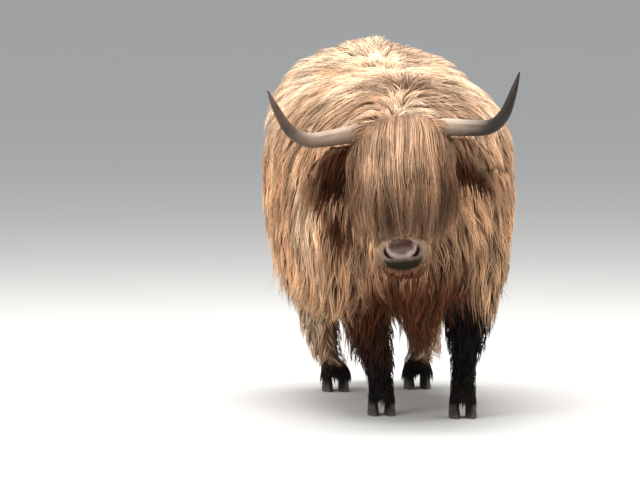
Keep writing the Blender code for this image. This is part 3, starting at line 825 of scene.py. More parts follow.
class COW_OT_skin(bpy.types.Operator):
    """Makes the one skin that stands for all the nodes of flesh, inside them by the coat's depth"""

    bl_idname = "cow.skin"
    bl_label = "Skin"

    def execute(self, context):
        look, coat = context.scene.cow_skin, context.scene.cow_coat
        finer = [(on_face(0.250, -0.08, 0.0), 0.34, 1), (on_face(0.480, -0.075, 0.0), 0.135, 1)]
        finer += [(EYES[word], 0.055, 1) for word, _ in SIDES]
        finer += [(centre(ear), 0.11, 1) for ear in EARS]
        skin = Surface(*fused_shape(FLESH, look.voxel, finer))
        skin.fields = nearest_nodes(skin, FLESH)
        skin.points = skin.smoothed(skin.points, 3)
        skin.settle()
        depth = sum(share * skin.fields[name] for name, share in COAT_SHARES.items())
        depth = skin.smoothed(depth, 8)[:, 0] * ease(0.050, 0.085, skin.points[:, 2])
        shrink(skin, look.coat_depth * depth)
        sculpt_hems(skin)
        skin.fields["lid"] = np.zeros(len(skin.points))
        for word, side in SIDES:
            sculpt_lids(skin, word, side)
            sculpt_ear(skin, word, side)
        sculpt_muzzle(skin)
        bareness(skin)
        markings(skin)
        for way, place in zip(("down", "out", "aside"), face_place(skin.points)):
            skin.fields[f"face_{way}"] = place
        skin.fields["short"] = ease(0.36, 0.42, skin.fields["face_down"]) * skin.fields["muzzle"]
        corners = np.full(len(skin.triangles), 3)
        finish = skin_finish(look, coat)
        piece = new_piece("skin", skin.points, skin.triangles.ravel(), corners, finish, "coat")
        kept = ("pale", "red", "dark", "bare", "pad", "nostril", "lip", "lid", "udder")
        kept += ("pad_top", "band", "chin", "short", "face_down", "face_out", "face_aside")
        keep_numbers(piece.data, **{name: skin.fields[name] for name in kept})
        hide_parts(*FLESH)
        hull = Surface(*fused_shape((*FLESH, "forelock", "tail_switch"), HULL_VOXEL))
        place, normal = hull.near(skin.points)
        room = np.clip(dot(place - skin.points, normal)[:, 0], 0.003, 0.07)
        skin.fields["room"] = np.minimum(room, 0.004 + 1.3 * look.coat_depth * depth)
        work.update(skin=skin, hull=hull, coat=coat_finish(coat))
        return {"FINISHED"}


# ---------------------------------------------------------------- horns
# a horn's middle line: outward, ahead and up from the poll, radius
HORN = (
    (0.070, -0.014, -0.012, 0.031),
    (0.130, -0.004, -0.016, 0.0315),
    (0.180, 0.000, -0.018, 0.031),
    (0.255, 0.026, -0.025, 0.028),
    (0.312, 0.052, -0.025, 0.026),
    (0.352, 0.074, -0.009, 0.023),
    (0.382, 0.090, 0.022, 0.020),
    (0.404, 0.098, 0.063, 0.0160),
    (0.423, 0.100, 0.108, 0.0115),
    (0.444, 0.094, 0.162, 0.0025),
)
HORN_AROUND = 40  # points round a horn
HORN_SHIFT = {"left": 0.15, "right": -0.04}  # how much nearer the head each horn darkens
HORN_DARK_PATCHES = {"left": 0.0, "right": 0.50}  # how much each horn's surface darkens in cloudy patches


def horn_line(side, count):
    """The horn's middle line, the ways across and up from it, its radius and place outward."""
    rows = smooth_path(HORN, count)
    middle = POLL + rows[:, :1] * side * HEAD_LEFT + rows[:, 1:2] * AHEAD + rows[:, 2:3] * HEAD_UP
    along = unit(np.gradient(middle, axis=0))
    across = unit(np.cross(along, HEAD_UP + 0.2 * AHEAD))
    return middle, across, np.cross(across, along), rows[:, 3], rows[:, 0]


def horn_rings(side, turn, count=150):
    """Circles square to the horn's middle line, with fine growth rings near the head."""
    middle, across, rise, radius, _ = horn_line(side, count)
    way = np.linspace(0, 1, count)[:, None]
    growth = 0.0006 * np.sin(way * 170 + np.sin(turn * 2)) * ease(0.50, 0.12, way)
    flutes = 0.0005 * np.sin(turn * 9 + way * 5) * ease(0.9, 0.3, way)
    reach = radius[:, None] + growth + flutes
    ring = between_ways(turn, across[:, None, :] * side, rise[:, None, :])
    return middle[:, None, :] + reach[..., None] * ring, way


def horn_finish(look):
    """Cream and pink at the base, grey halfway, near black at the tip, streaked along, the underside
    darkened as painted shade.
    """
    finish = Finish("horn", Specular_IOR_Level=0.30)
    along, turn = finish.field("along"), finish.field("turn")
    streak = finish.noise(6.0, 5.0, finish.vector(along * 1.2, turn * 3.0), 0.6)
    cloud = finish.noise(11.0, 3.0)
    at = along + 0.20 * (streak - 0.5) + 0.14 * (cloud - 0.5) + finish.field("shift")
    colour = finish.mix(at.between(0.26, 0.48), look.base, look.middle)
    colour = finish.mix(at.between(0.40, 0.64), colour, look.tip)
    colour = finish.mix(0.50 * streak.between(0.52, 0.75), colour, (0.20, 0.13, 0.085))
    # painted shade: the underside turns towards the tip's colour, more away from the head
    colour = finish.mix(0.80 * finish.field("under") * along.between(0.0, 0.4), colour, look.tip)
    # the worn number darkens the horn in cloudy patches, the right horn only
    worn = finish.field("worn") * cloud.between(0.25, 0.55)
    finish.set("Base Color", finish.mix(worn, colour, (0.16, 0.095, 0.06)))
    finish.set("Roughness", 0.38 + 0.25 * streak)
    finish.raise_by(streak, 0.0008)
    return finish.material


class COW_OT_horns(bpy.types.Operator):
    """Makes both horns with their growth rings"""

    bl_idname = "cow.horns"
    bl_label = "Horns"

    def execute(self, context):
        material = horn_finish(context.scene.cow_horn)
        turn = np.linspace(0, FULL_TURN, HORN_AROUND, endpoint=False)[None, :]
        for word, side in SIDES:
            rings, way = horn_rings(side, turn)
            piece = grid_piece(f"horn_{word}_shell", rings, material, "horn")
            numbers = {
                "along": way,
                "turn": np.abs(turn / FULL_TURN - 0.5) * 2,
                # how far a point lies on the horn's underside, for its painted shade
                "under": ease(0.2, -0.8, np.sin(turn)),
                "shift": HORN_SHIFT[word],
                "worn": HORN_DARK_PATCHES[word],
            }
            shape = rings.shape[:2]
            spread = {key: np.broadcast_to(value, shape) for key, value in numbers.items()}
            keep_numbers(piece.data, **spread)
            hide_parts(f"horn_{word}")
        return {"FINISHED"}


# ---------------------------------------------------------------- claws and eyes
def claw_rings(node, side, levels=24, around=48):
    """Level outlines of a claw: pointed at the toe, flat on the cleft's side, worn at the sole.

    Going up, the toe draws back and the wall leans in, and over the upper fifth of the height
    the outlines close over in a quarter round, under the coronet's hair.
    """
    low, high = box(node)
    middle = (low + high) / 2
    length, wide = high[1] - low[1], high[0] - low[0]
    way = np.linspace(0, 1, levels)[:, None]
    turn = np.linspace(0, FULL_TURN, around, endpoint=False)[None, :]
    toe = np.clip(np.sin(turn), 0, 1)
    heel = np.clip(-np.sin(turn), 0, 1)
    dome = np.sqrt(np.clip(1 - (np.clip(way - 0.78, 0, 1) / 0.23) ** 2, 0, 1))
    sole = 1 - 0.07 * ease(0.10, 0.0, way)
    half = length / 2 * (1 - 0.40 * way) * sole * (0.35 + 0.65 * dome)
    x = wide / 2 * (1 - 0.20 * way) * sole * (0.35 + 0.65 * dome) * np.cos(turn)
    x = x * (1 - 0.45 * toe**2) * (1 - 0.10 * heel**4)
    x = np.where(np.cos(turn) * side < 0, x * 0.84, x)
    swell = 1 + 0.008 * np.sin(way * 30 + 1.5 * toe)
    y = -half * np.sin(turn) * swell + length * 0.19 * (way - 0.12)
    y = y - 0.05 * length * heel * ease(0.6, 0.0, way)
    z = low[2] + way * (high[2] - low[2]) * 1.06 + 0.004 * way * heel
    return np.stack([middle[0] + x * swell, middle[1] + y, z], axis=-1)


def claw_finish(look):
    """Dark hoof horn: rings that lie level, fine upright lines and dust at the sole."""
    finish = Finish("claw", Specular_IOR_Level=0.4)
    height = finish.add("ShaderNodeSeparateXYZ", values={0: finish.place()}, output="Z")
    rings = finish.noise(70.0, 3.0, finish.stretched((0.05, 0.05, 1.0)))
    lines = finish.noise(60.0, 4.0, finish.stretched((1.0, 1.0, 0.08)))
    colour = finish.mix(0.5 * rings, look.claw, (0.065, 0.050, 0.038))
    colour = finish.mix(0.6 - 0.6 * height.between(0.0, 0.020), colour, (0.12, 0.095, 0.070))
    finish.set("Base Color", colour)
    finish.set("Roughness", 0.42 + 0.3 * lines)
    finish.raise_by(rings + 0.5 * lines, 0.0012)
    return finish.material


class COW_OT_claws(bpy.types.Operator):
    """Makes the two claws of each foot"""

    bl_idname = "cow.claws"
    bl_label = "Claws"

    def execute(self, context):
        material = claw_finish(context.scene.cow_horn)
        for leg in LEGS:
            for word, side in SIDES:
                node = f"{leg}_claw_{word}"
                piece = grid_piece(f"{node}_horn", claw_rings(node, side), material, "claw")
                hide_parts(node)
        return {"FINISHED"}


def eye_finish(word, side):
    """A dark iris round a long level pupil, bluish where the cornea catches the light."""
    look, up, nose = eye_frame(side)
    finish = Finish(f"eye_{word}", Roughness=0.04, Coat_Weight=1.0, Coat_Roughness=0.02)
    values = {0: finish.place(), 1: tuple(EYES[word])}
    offset = finish.add("ShaderNodeVectorMath", {"operation": "SUBTRACT"}, values)
    settings = {"operation": "DOT_PRODUCT"}
    across, tall, ahead = (
        finish.add("ShaderNodeVectorMath", settings, {0: offset, 1: tuple(axis)}, "Value")
        for axis in (nose, up, look)
    )
    pupil = ((across / 0.0075) ** 2 + (tall / 0.0036) ** 2) ** 0.5
    iris = (across * across + tall * tall) ** 0.5
    brown = finish.mix(finish.noise(900.0, 4.0), (0.018, 0.008, 0.004), (0.060, 0.026, 0.012))
    colour = finish.mix(iris.between(0.0112, 0.0128), brown, (0.20, 0.15, 0.12))
    colour = finish.mix(1 - pupil.between(0.9, 1.1), colour, (0.003, 0.003, 0.006))
    finish.set("Base Color", finish.mix(1 - ahead.between(0.0, 0.006), colour, (0.10, 0.06, 0.05)))
    return finish.material


class COW_OT_eyes(bpy.types.Operator):
    """Makes both eyeballs, each with the bulge of its cornea"""

    bl_idname = "cow.eyes"
    bl_label = "Eyes"

    def execute(self, context):
        way = np.linspace(0.02, math.pi - 0.02, 40)[:, None]
        turn = np.linspace(0, FULL_TURN, 56, endpoint=False)[None, :]
        radius = (EYE_RADIUS * (0.97 + 0.035 * bump(way, 0.0, 0.62)))[..., None]
        for word, side in SIDES:
            look, up, _ = eye_frame(side)
            ray = (
                np.cos(way)[..., None] * look
                + (np.sin(way) * np.cos(turn))[..., None] * up
                + (np.sin(way) * np.sin(turn))[..., None] * np.cross(look, up)
            )
            rings = EYES[word] + radius * ray
            piece = grid_piece(f"eye_{word}_ball", rings, eye_finish(word, side), "eye")
            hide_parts(f"eye_{word}")
        return {"FINISHED"}


# ---------------------------------------------------------------- locks
CLUMP = 8  # locks that share a guide
STEPS = 14  # stations of a guide
HOLD = 0.45  # share of its last direction that a guide keeps at each step
ROOT_DEPTH = 0.004  # how deep a lock is rooted
LOWEST = 0.004  # no hair hangs lower
THICKNESS = 0.32  # of a lock, as a share of its width
MAP_PATCH = 0.003  # size of a lock's place on the OFBake map
QUAD_STEPS = ((0, 0), (1, 0), (1, 1), (0, 1))  # ring and corner steps round a lock's quad


class Tufts:
    """Roots on the skin, spread evenly by a density, each with the numbers its lock needs."""

    def __init__(self, density, count, seed):
        skin = work["skin"]
        self.rng = np.random.default_rng(seed)
        triangles = skin.triangles
        first, second, third = (skin.points[corner] for corner in triangles.T)
        area = np.linalg.norm(np.cross(second - first, third - first), axis=1)
        share = np.cumsum(area * np.maximum(density, 0)[triangles].mean(1))
        steps = (np.arange(count) + self.rng.random(count)) / count
        self.picked = triangles[np.searchsorted(share, steps * share[-1])]
        first, second = self.rng.random((2, count))
        over = first + second > 1
        first[over], second[over] = 1 - first[over], 1 - second[over]
        self.weights = np.stack([1 - first - second, first, second], axis=1)
        self.points = self.read(skin.points)
        self.normals = unit(self.read(skin.normals))

    def read(self, values):
        """Values at the skin's points, read at the roots."""
        rows = values.reshape(len(values), -1)[self.picked]
        found = (rows * self.weights[..., None]).sum(1)
        return found if values.ndim > 1 else found[:, 0]


def lifted(t):
    """Height of a lock over the skin along its way: up over the first half, a little in again."""
    return ease(-0.30, 0.70, t) * (1 - 0.10 * ease(0.65, 1.0, t)) * ease(0.0, 0.08, t)


def holding(normals, stick):
    """How closely a lock keeps to the skin: less where the skin looks down and the lock hangs."""
    return stick * ease(-0.55, -0.05, normals[..., 2:])


def marched(points, normals, lie, lengths, rise, stray, stick):
    """Paths over the skin: each step follows the lie, laid on the skin and put at its height.

    Each path strays from the lie by its own small vector.
    """
    skin = work["skin"]
    stride = (lengths / (STEPS - 1))[:, None]
    path = [points]
    normal = normals
    way = None
    for step in range(1, STEPS):
        wanted = unit(lie(path[-1], normal) + stray)
        held = holding(normal, stick)
        wanted = unit(wanted - normal * dot(wanted, normal) * held)
        way = wanted if way is None else unit(HOLD * way + (1 - HOLD) * wanted)
        place = path[-1] + way * stride
        hit, normal = skin.near(place)
        over = rise[:, None] * lifted(step / (STEPS - 1)) - dot(place - hit, normal)
        path.append(place + normal * np.where(over > 0, 0.8, 0.6 * held) * over)
    return within(np.stack(path, axis=1), work["hull"])


def hanging(points, normals, lie, lengths, push):
    """Paths that start along the lie and are pushed off the skin, then bend over and hang."""
    t = np.linspace(0, 1, STEPS)[None, :, None]
    start = unit(lie(points, normals) + push * normals)[:, None, :]
    travel = start * (t - 0.40 * t**2) + np.array([0, 0, -0.75]) * t**1.7
    return points[:, None, :] + lengths[:, None, None] * travel


def within(path, hull, slack=0.004):
    """Draws what stands out of the hull back to it, but leaves ends that hang free."""
    along = unit(np.gradient(path, axis=1))
    place, normal = hull.near(path)
    over = np.maximum(dot(path - place, normal) - slack, 0)
    back = -normal * over
    return path + back - along * dot(back, along)


def sampled(paths, at):
    """Points along each path, at shares of its length from 0 to 1."""
    last = paths.shape[1] - 1
    place = np.clip(at, 0, 1) * last
    first = np.minimum(place.astype(int), last - 1)
    t = (place - first)[..., None]
    rows = np.arange(len(paths))[:, None]
    return paths[rows, first] * (1 - t) + paths[rows, first + 1] * t


def clumped(roots, guides, shares, t, draw):
    """Each lock's path: its guide's path moved to its root, drawn to the guide towards the tip."""
    own = sampled(guides, t * shares[:, None])
    closing = 1 - draw[:, None] * ease(0.0, 1.0, t)
    return own + (roots - guides[:, 0])[:, None, :] * closing[..., None]


def waved(paths, normals, size, waves, phase, t):
    """Swings each path aside as a sine that grows from the root, and up as a slower cosine."""
    along = unit(np.gradient(paths, axis=1))
    across = unit(np.cross(along, normals))
    angle = FULL_TURN * waves[:, None] * t
    size, phase = size[:, None], phase[:, None]
    swing = size * ease(0.0, 0.6, t) * np.sin(angle + phase)
    lift = 0.35 * size * ease(0.2, 0.8, t) * np.cos(angle * 1.3 + phase)
    return paths + across * swing[..., None] + normals * lift[..., None]


def smooth_bent(paths):
    """Which paths have even steps and no sharp turn after their first step."""
    steps = np.diff(paths, axis=1)
    stride = np.linalg.norm(steps, axis=-1)
    way = unit(steps)
    bend = (way[:, 1:] * way[:, :-1]).sum(-1)
    return (stride.max(1) < 1.9 * stride.mean(1)) & (bend[:, 1:].min(1) > 0.62)


def lock_faces(rings):
    """Corner numbers, map places and corner counts of the faces of one three-sided lock.

    Quads join one ring to the next, three triangles close the tip and one the root.
    """
    ring, corner = np.meshgrid(np.arange(rings - 1), np.arange(3), indexing="ij")
    quads = [3 * (ring + up) + (corner + on) % 3 for up, on in QUAD_STEPS]
    places = [np.stack([(corner + on) / 3, (ring + up) / rings], -1) for up, on in QUAD_STEPS]
    last, edge = 3 * (rings - 1), (rings - 1) / rings
    ends = [[last + k, last + 3, last + (k + 1) % 3] for k in range(3)] + [[0, 1, 2]]
    end_places = [[[k / 3, edge], [(k + 0.5) / 3, 1], [(k + 1) / 3, edge]] for k in range(3)]
    end_places += [[[0, 0], [1 / 3, 0], [2 / 3, 0]]]
    faces = np.concatenate([np.stack(quads, axis=-1).ravel(), np.ravel(ends)])
    places = np.concatenate([np.stack(places, axis=-2).reshape(-1, 2), np.reshape(end_places, (-1, 2))])
    return faces, places, [4] * (3 * (rings - 1)) + [3] * 4


def lock_mesh(name, paths, normals, widths, fields, places, rng):
    """Closed three-sided locks: a flattened triangle carried along each path down to a point.

    Half width grows from 0.6 at the root to 1 at a quarter of the way and falls to a point at
    the tip. Each lock's patch on the OFBake map lies at its root's place. A field has one number
    for each lock, or one for each of its stations.
    """
    count, stations = paths.shape[:2]
    rings = stations - 1
    t = np.linspace(0, 1, stations)[:-1]
    along = unit(np.gradient(paths, axis=1))
    across = unit(np.cross(along, normals))
    outward = np.cross(across, along)[:, :-1]
    across = across[:, :-1]
    roll = rng.normal(0, 0.22, count)[:, None] + rng.normal(0, 0.4, count)[:, None] * t
    side, out = between_ways(roll, across, outward), between_ways(roll, outward, -across)
    profile = (0.6 + 0.4 * ease(0, 0.25, t)) * (1 - t**1.8) ** 0.85
    half = (widths[:, None] / 2 * profile)[..., None]
    middle, base, ridge = paths[:, :-1], out * half * THICKNESS * 0.5, out * half * THICKNESS * 1.2
    corners = [middle - side * half - base, middle + side * half - base, middle + ridge]
    corners = np.stack(corners, axis=2).reshape(count, -1, 3)
    points = np.concatenate([corners, paths[:, -1:]], axis=1)
    per_lock = points.shape[1]
    one, one_map, sizes = lock_faces(rings)
    faces = (one[None, :] + per_lock * np.arange(count)[:, None]).ravel()
    sizes = np.tile(sizes, count)
    piece = new_piece(name, points.reshape(-1, 3), faces, sizes, work["coat"], "coat")
    layer = piece.data.uv_layers.new(name="OFBake")
    patches = places[:, None, :] + MAP_PATCH * (one_map[None] - 0.5)
    layer.uv.foreach_set("vector", np.ascontiguousarray(patches, np.float32).ravel())
    numbers = {"along": np.tile(np.append(np.repeat(t, 3), 1.0), count)}
    numbers["across"] = np.tile(np.append(np.tile([0.0, 1.0, 0.5], rings), 0.5), count)
    for key, values in fields.items():
        rows = np.broadcast_to(values.reshape(count, -1), (count, stations))
        numbers[key] = np.concatenate([rows[:, :-1].repeat(3, axis=1), rows[:, -1:]], axis=1)
    numbers["strand"] = np.repeat(rng.random(count), per_lock)
    keep_numbers(piece.data, **numbers)
    return piece


def lock_count(count):
    """How many locks are made of a full coat's number."""
    return int(count * bpy.context.scene.cow_coat.amount * (1))


def nearest_leader(roots, leaders):
    """The number of the leader nearest to each root."""
    tree = KDTree(len(leaders))
    for number, place in enumerate(roots[leaders].tolist()):
        tree.insert(place, number)
    tree.balance()
    return np.array([tree.find(place)[1] for place in roots.tolist()])


def grown(name, density, count, length, width, lie, rise, places, rings=6, wave=1.0, waves=1.0,
          draw=0.65, stick=0.85, layers=(0.35, 1.0), push=None, seed=0):
    """A coat piece: locks rooted on the skin, gathered into clumps that share a guide's path.

    Rise is a share of the room between skin and hull. With a push the locks hang freely from
    their roots. Locks with a kink are left out.
    """
    coat, skin = bpy.context.scene.cow_coat, work["skin"]
    count = max(64, lock_count(count))
    tufts = Tufts(density, count, coat.seed + seed)
    rng = tufts.rng
    leaders = rng.permutation(count)[: max(8, count // CLUMP)]
    owner = nearest_leader(tufts.points, leaders)
    reach = tufts.read(length) if isinstance(length, np.ndarray) else np.full(count, length)
    height = rise * tufts.read(skin.fields["room"])
    layer = rng.uniform(*layers, len(leaders))
    start = (tufts.points[leaders], tufts.normals[leaders], lie)
    lengths = reach[leaders] * rng.uniform(0.85, 1.15, len(leaders))
    if push is None:
        stray = rng.normal(0, 0.16, (len(leaders), 3))
        guides = marched(*start, lengths, height[leaders] * layer, stray, stick)
    else:
        guides = hanging(*start, lengths, push)
    t = np.linspace(0, 1, rings + 1)[None, :]
    shares = rng.uniform(0.56, 1.0, count)
    draws = rng.uniform(draw - 0.25, draw + 0.15, count)
    paths = clumped(tufts.points, guides[owner], shares, t, draws)
    hit, normals = skin.near(paths)
    if push is None:
        need = (height * (layer[owner] + rng.uniform(-0.20, 0.20, count)))[:, None] * lifted(t)
        over = need[..., None] - dot(paths - hit, normals)
        held = holding(normals, stick)
        paths = paths + normals * over * np.where(over > 0, 0.85, 0.6 * held)
    size = coat.wave * wave * rng.uniform(0.5, 1.2, len(leaders))[owner] * np.minimum(reach / 0.12, 1)
    phase = rng.uniform(0, FULL_TURN, len(leaders))[owner] + rng.normal(0, 0.35, count)
    turns = waves * rng.uniform(0.7, 1.3, len(leaders))[owner] * shares
    paths = waved(paths, normals, size, turns, phase, t)
    paths[:, 0] = tufts.points - tufts.normals * ROOT_DEPTH
    paths[..., 2] = np.maximum(paths[..., 2], LOWEST)
    marks = {key: tufts.read(skin.fields[key]) for key in ("pale", "red", "dark")}
    marks["tone"] = 0.58 * rng.random(len(leaders))[owner] + 0.42 * rng.random(count)
    marks["layer"] = np.clip(layer[owner], 0, 1)
    widths = width * rng.uniform(0.6, 1.3, count)
    whole = smooth_bent(paths)
    marks = {key: values[whole] for key, values in marks.items()}
    roots = places(tufts.points[whole])
    return lock_mesh(name, paths[whole], normals[whole], widths[whole], marks, roots, rng)


def coat_finish(look):
    """Hair: the marked colour in patches and strands, darker at the root and on the lower layers
    as painted shade in the coat's depth, and paler at the tip.

    Pale hair gets less of this painted shade towards the root, and each lock has its own brightness.
    """
    finish = Finish("coat", Specular_IOR_Level=0.16)
    names = ("along", "across", "strand", "tone", "layer", "pale", "red", "dark")
    along, across, strand, tone, layer, pale, red, dark = (finish.field(name) for name in names)
    grain = finish.vector(across * 2.2, along * 0.9, strand * 60.0)
    strands = finish.noise(3.0, 3.0, grain, 0.6).between(0.32, 0.68)
    patches = finish.noise(5.0, 2.0, finish.stretched((1.0, 1.0, 0.7))).between(0.42, 0.66)
    clumps = finish.noise(13.0, 2.0, finish.stretched((1.0, 1.0, 0.35))).between(0.34, 0.66)
    colour = marked_colour(finish, look)
    colour = finish.mix(0.50 * patches * (1 - red) * (1 - dark), colour, look.shade)
    # painted shade in the coat's depth: darker towards the root and on the lower layers
    deep = finish.mix(dark, look.root, look.black)
    below = (1 - along.between(0.0, 0.60)) * 0.70 + (1 - layer) * 0.45
    colour = finish.mix(below * (1 - 0.70 * pale), colour, deep)
    bright = 0.48 + 0.26 * pale + (0.82 - 0.42 * pale) * tone + 0.22 * along * (1 - red)
    bright = bright * (0.72 + 0.60 * clumps) * (0.84 + 0.32 * strands)
    values = dict.fromkeys(("Red", "Green", "Blue"), bright)
    shade = finish.add("ShaderNodeCombineColor", values=values)
    finish.set("Base Color", finish.mix(1.0, colour, shade, "MULTIPLY"))
    finish.set("Roughness", 0.48 + 0.15 * tone)
    return finish.material


# ---------------------------------------------------------------- how the hair lies
def body_lie(points, normals):
    """Back along the spine, beside it outwards and a little ahead, then down; back at the rump."""
    x, y, z = points.T
    side = x - MIDLINE
    top = ease(0.45, 0.95, normals[:, 2])
    rump = ease(0.45, 0.85, y)
    aside = np.tanh(side / 0.15) * (0.25 + 0.80 * top) * (1 - 0.35 * rump * top)
    ahead = 0.40 * top * ease(0.55, 0.15, y)
    shoulder = 0.20 * ease(-0.2, -0.5, y) * (1 - top)
    crest = 1.1 * top * bump(side, 0.0, 0.075)
    sweep = 0.30 * np.sin(7.0 * y + 3.0 * z) * (1 - top)
    return towards(aside, 0.20 - ahead - shoulder + crest + 0.6 * rump + sweep, -1.0 + 0.55 * top)


def crest_side(points):
    """Place aside from the crest of the neck, which leans to the side the head is turned to."""
    x, y, _ = points.T
    return x - MIDLINE + 0.10 * ease(-0.30, -0.75, y)


def neck_lie(points, normals):
    """Back along the crest, and beside it to either side and a little ahead, then down."""
    side = crest_side(points)
    top = ease(0.35, 0.95, normals[:, 2])
    aside = np.tanh(side / 0.12) * (0.15 + 0.85 * top)
    sweep = 0.22 * np.sin(9.0 * points[:, 2] + 6.0 * side) * (1 - top)
    crest = 1.2 * top * bump(side, 0.0, 0.075)
    return towards(aside, 0.10 - 0.35 * top + sweep + crest, -1.0 + 0.45 * top)


def fall(points, normals):
    """Straight down, with a slow wander."""
    x, y, z = points.T
    return towards(0.10 * np.sin(11 * z + 9 * y), 0.08 * np.sin(13 * z + 11 * x), -1.0)


def cheek_lie(points, normals):
    """Down the face and aside from its middle on its front, straight down on cheeks and jaw."""
    facing = ease(0.0, 0.6, normals @ FACE_OUT)[:, None]
    outward = np.tanh(face_place(points)[2] / 0.06)[:, None] * HEAD_LEFT * 0.30
    down = unit(FACE_DOWN + outward - 0.20 * FACE_OUT + np.array([0, 0, -0.15]))
    return unit(facing * down + (1 - facing) * (fall(points, normals) + 0.15 * normals))


def ear_lie(points, normals):
    """Towards the ear's tip and down."""
    aside = np.sign((points - POLL) @ HEAD_LEFT)[:, None] * HEAD_LEFT
    return unit(0.62 * aside + np.array([0, -0.10, -0.55]))


def switch_lie(points, normals):
    """Down and away from the tail's middle for the upper half, then in again to a point."""
    x, y, z = points.T
    middle = centre("tail_switch")
    swell = 0.22 * ease(0.50, 0.62, z) - 0.30 * ease(0.46, 0.30, z)
    return towards(swell * (x - middle[0]) / 0.05, swell * (y - middle[1]) / 0.05, -1.0)


# ---------------------------------------------------------------- unwraps for the OFBake map
def round_map(points, axis_point, axis, start, length):
    """Unwraps places as on a cylinder about an axis: the turn about it and the way along it."""
    axis = unit(np.asarray(axis, float))
    first = unit(np.cross(axis, (0.31, 0.52, 0.79)))
    second = np.cross(axis, first)
    offset = points - axis_point
    turn = np.arctan2(offset @ second, offset @ first) / FULL_TURN + 0.5
    way = np.clip((offset @ axis - start) / length, 0, 1)
    return 0.01 + 0.98 * np.stack([turn, way], axis=1)


def trunk_map(points):
    """The trunk unwrapped about its own long axis."""
    length = TRUNK_HIGH[1] - TRUNK_LOW[1]
    return round_map(points, (MIDLINE, 0.0, 0.80), (0, 1, 0), TRUNK_LOW[1], length)


def neck_map(points):
    """The neck unwrapped about its own long axis."""
    low, high = box("neck")
    return round_map(points, centre("neck"), (0, 1, 0.05), -0.30, high[1] - low[1] + 0.10)


def face_map(points):
    """The head unwrapped about the line from the poll to the nose."""
    return round_map(points, on_face(0.0, -0.10, 0.0), FACE_DOWN, -0.08, 0.64)


def limb_map(points):
    """The legs unwrapped about upright axes, each leg in its own quarter of the map."""
    places = np.zeros((len(points), 2))
    x, y, _ = points.T
    quarter = (x > MIDLINE).astype(int) + 2 * (y > 0.2)
    for number, leg in zip((1, 0, 3, 2), LEGS):
        own = round_map(points, centre(f"{leg}_shank"), (0, 0, 1), -0.15, 0.75)
        place = np.array([number % 2, number // 2]) * 0.5 + 0.5 * own
        places[quarter == number] = place[quarter == number]
    return places


def tail_map(points):
    """Tail and switch unwrapped about an upright axis."""
    return round_map(points, centre("tail_switch") * (1, 1, 0), (0, 0, 1), 0.2, 1.1)


# ---------------------------------------------------------------- the coat's pieces
class COW_OT_body_coat(bpy.types.Operator):
    """Grows the coat of the back and of both sides of the trunk"""

    bl_idname = "cow.body_coat"
    bl_label = "Body coat"

    def execute(self, context):
        skin = work["skin"]
        width = context.scene.cow_coat.width
        x, y, z = skin.points.T
        up = skin.normals[:, 2]
        trunk = skin.fields["trunk"] * ease(0.2, 0.6, skin.fields["trunk"])
        back = ease(0.35, 0.75, up) * ease(0.95, 1.05, z)
        crest = 1 + 1.8 * bump(x - MIDLINE, 0.0, 0.06)
        length = 0.190 - 0.035 * back - 0.03 * ease(0.5, 0.9, y) * (1 - back)
        length = length - 0.05 * ease(-0.2, -0.8, up)
        grown("coat_back", trunk * back * crest, 7000, length, width * 0.8, body_lie, 1.12,
              trunk_map, rings=4, wave=0.25, waves=0.6, seed=1, draw=0.38, layers=(0.50, 1.0))
        parts = (("fore", ease(0.20, 0.10, y), 2), ("hind", ease(0.10, 0.20, y), 7))
        for number, (word, side) in enumerate(SIDES):
            flank = trunk * (1 - back) * ease(-0.01, 0.01, (x - MIDLINE) * side)
            for part, where, seed in parts:
                grown(f"coat_{word}_{part}", flank * where, 3900, length, width, body_lie, 0.95,
                      trunk_map, wave=1.1, seed=seed + number)
        return {"FINISHED"}


class COW_OT_neck_coat(bpy.types.Operator):
    """Grows the long coat of the neck, shoulders and breast"""

    bl_idname = "cow.neck_coat"
    bl_label = "Neck coat"

    def execute(self, context):
        skin = work["skin"]
        width = context.scene.cow_coat.width
        up = skin.normals[:, 2]
        neck = skin.fields["neck"] * ease(0.2, 0.6, skin.fields["neck"])
        low = ease(0.66, 0.56, skin.points[:, 2])
        length = 0.19 - 0.06 * ease(0.5, 0.9, up) - 0.03 * low
        crest = 1 + 1.8 * bump(crest_side(skin.points), 0.0, 0.06)
        nape = ease(0.35, 0.75, up)
        grown("coat_nape", neck * nape * crest, 2000, length, width * 0.8, neck_lie, 1.05,
              neck_map, rings=5, wave=0.25, waves=0.6, seed=13, draw=0.38, layers=(0.50, 1.0))
        grown("coat_neck", neck * (1 - low) * (1 - nape), 3200, length, width * 0.9, neck_lie,
              0.95, neck_map, wave=1.1, seed=11)
        grown("coat_breast", neck * low, 2200, length, width, fall, 0.9, neck_map, seed=12)
        return {"FINISHED"}


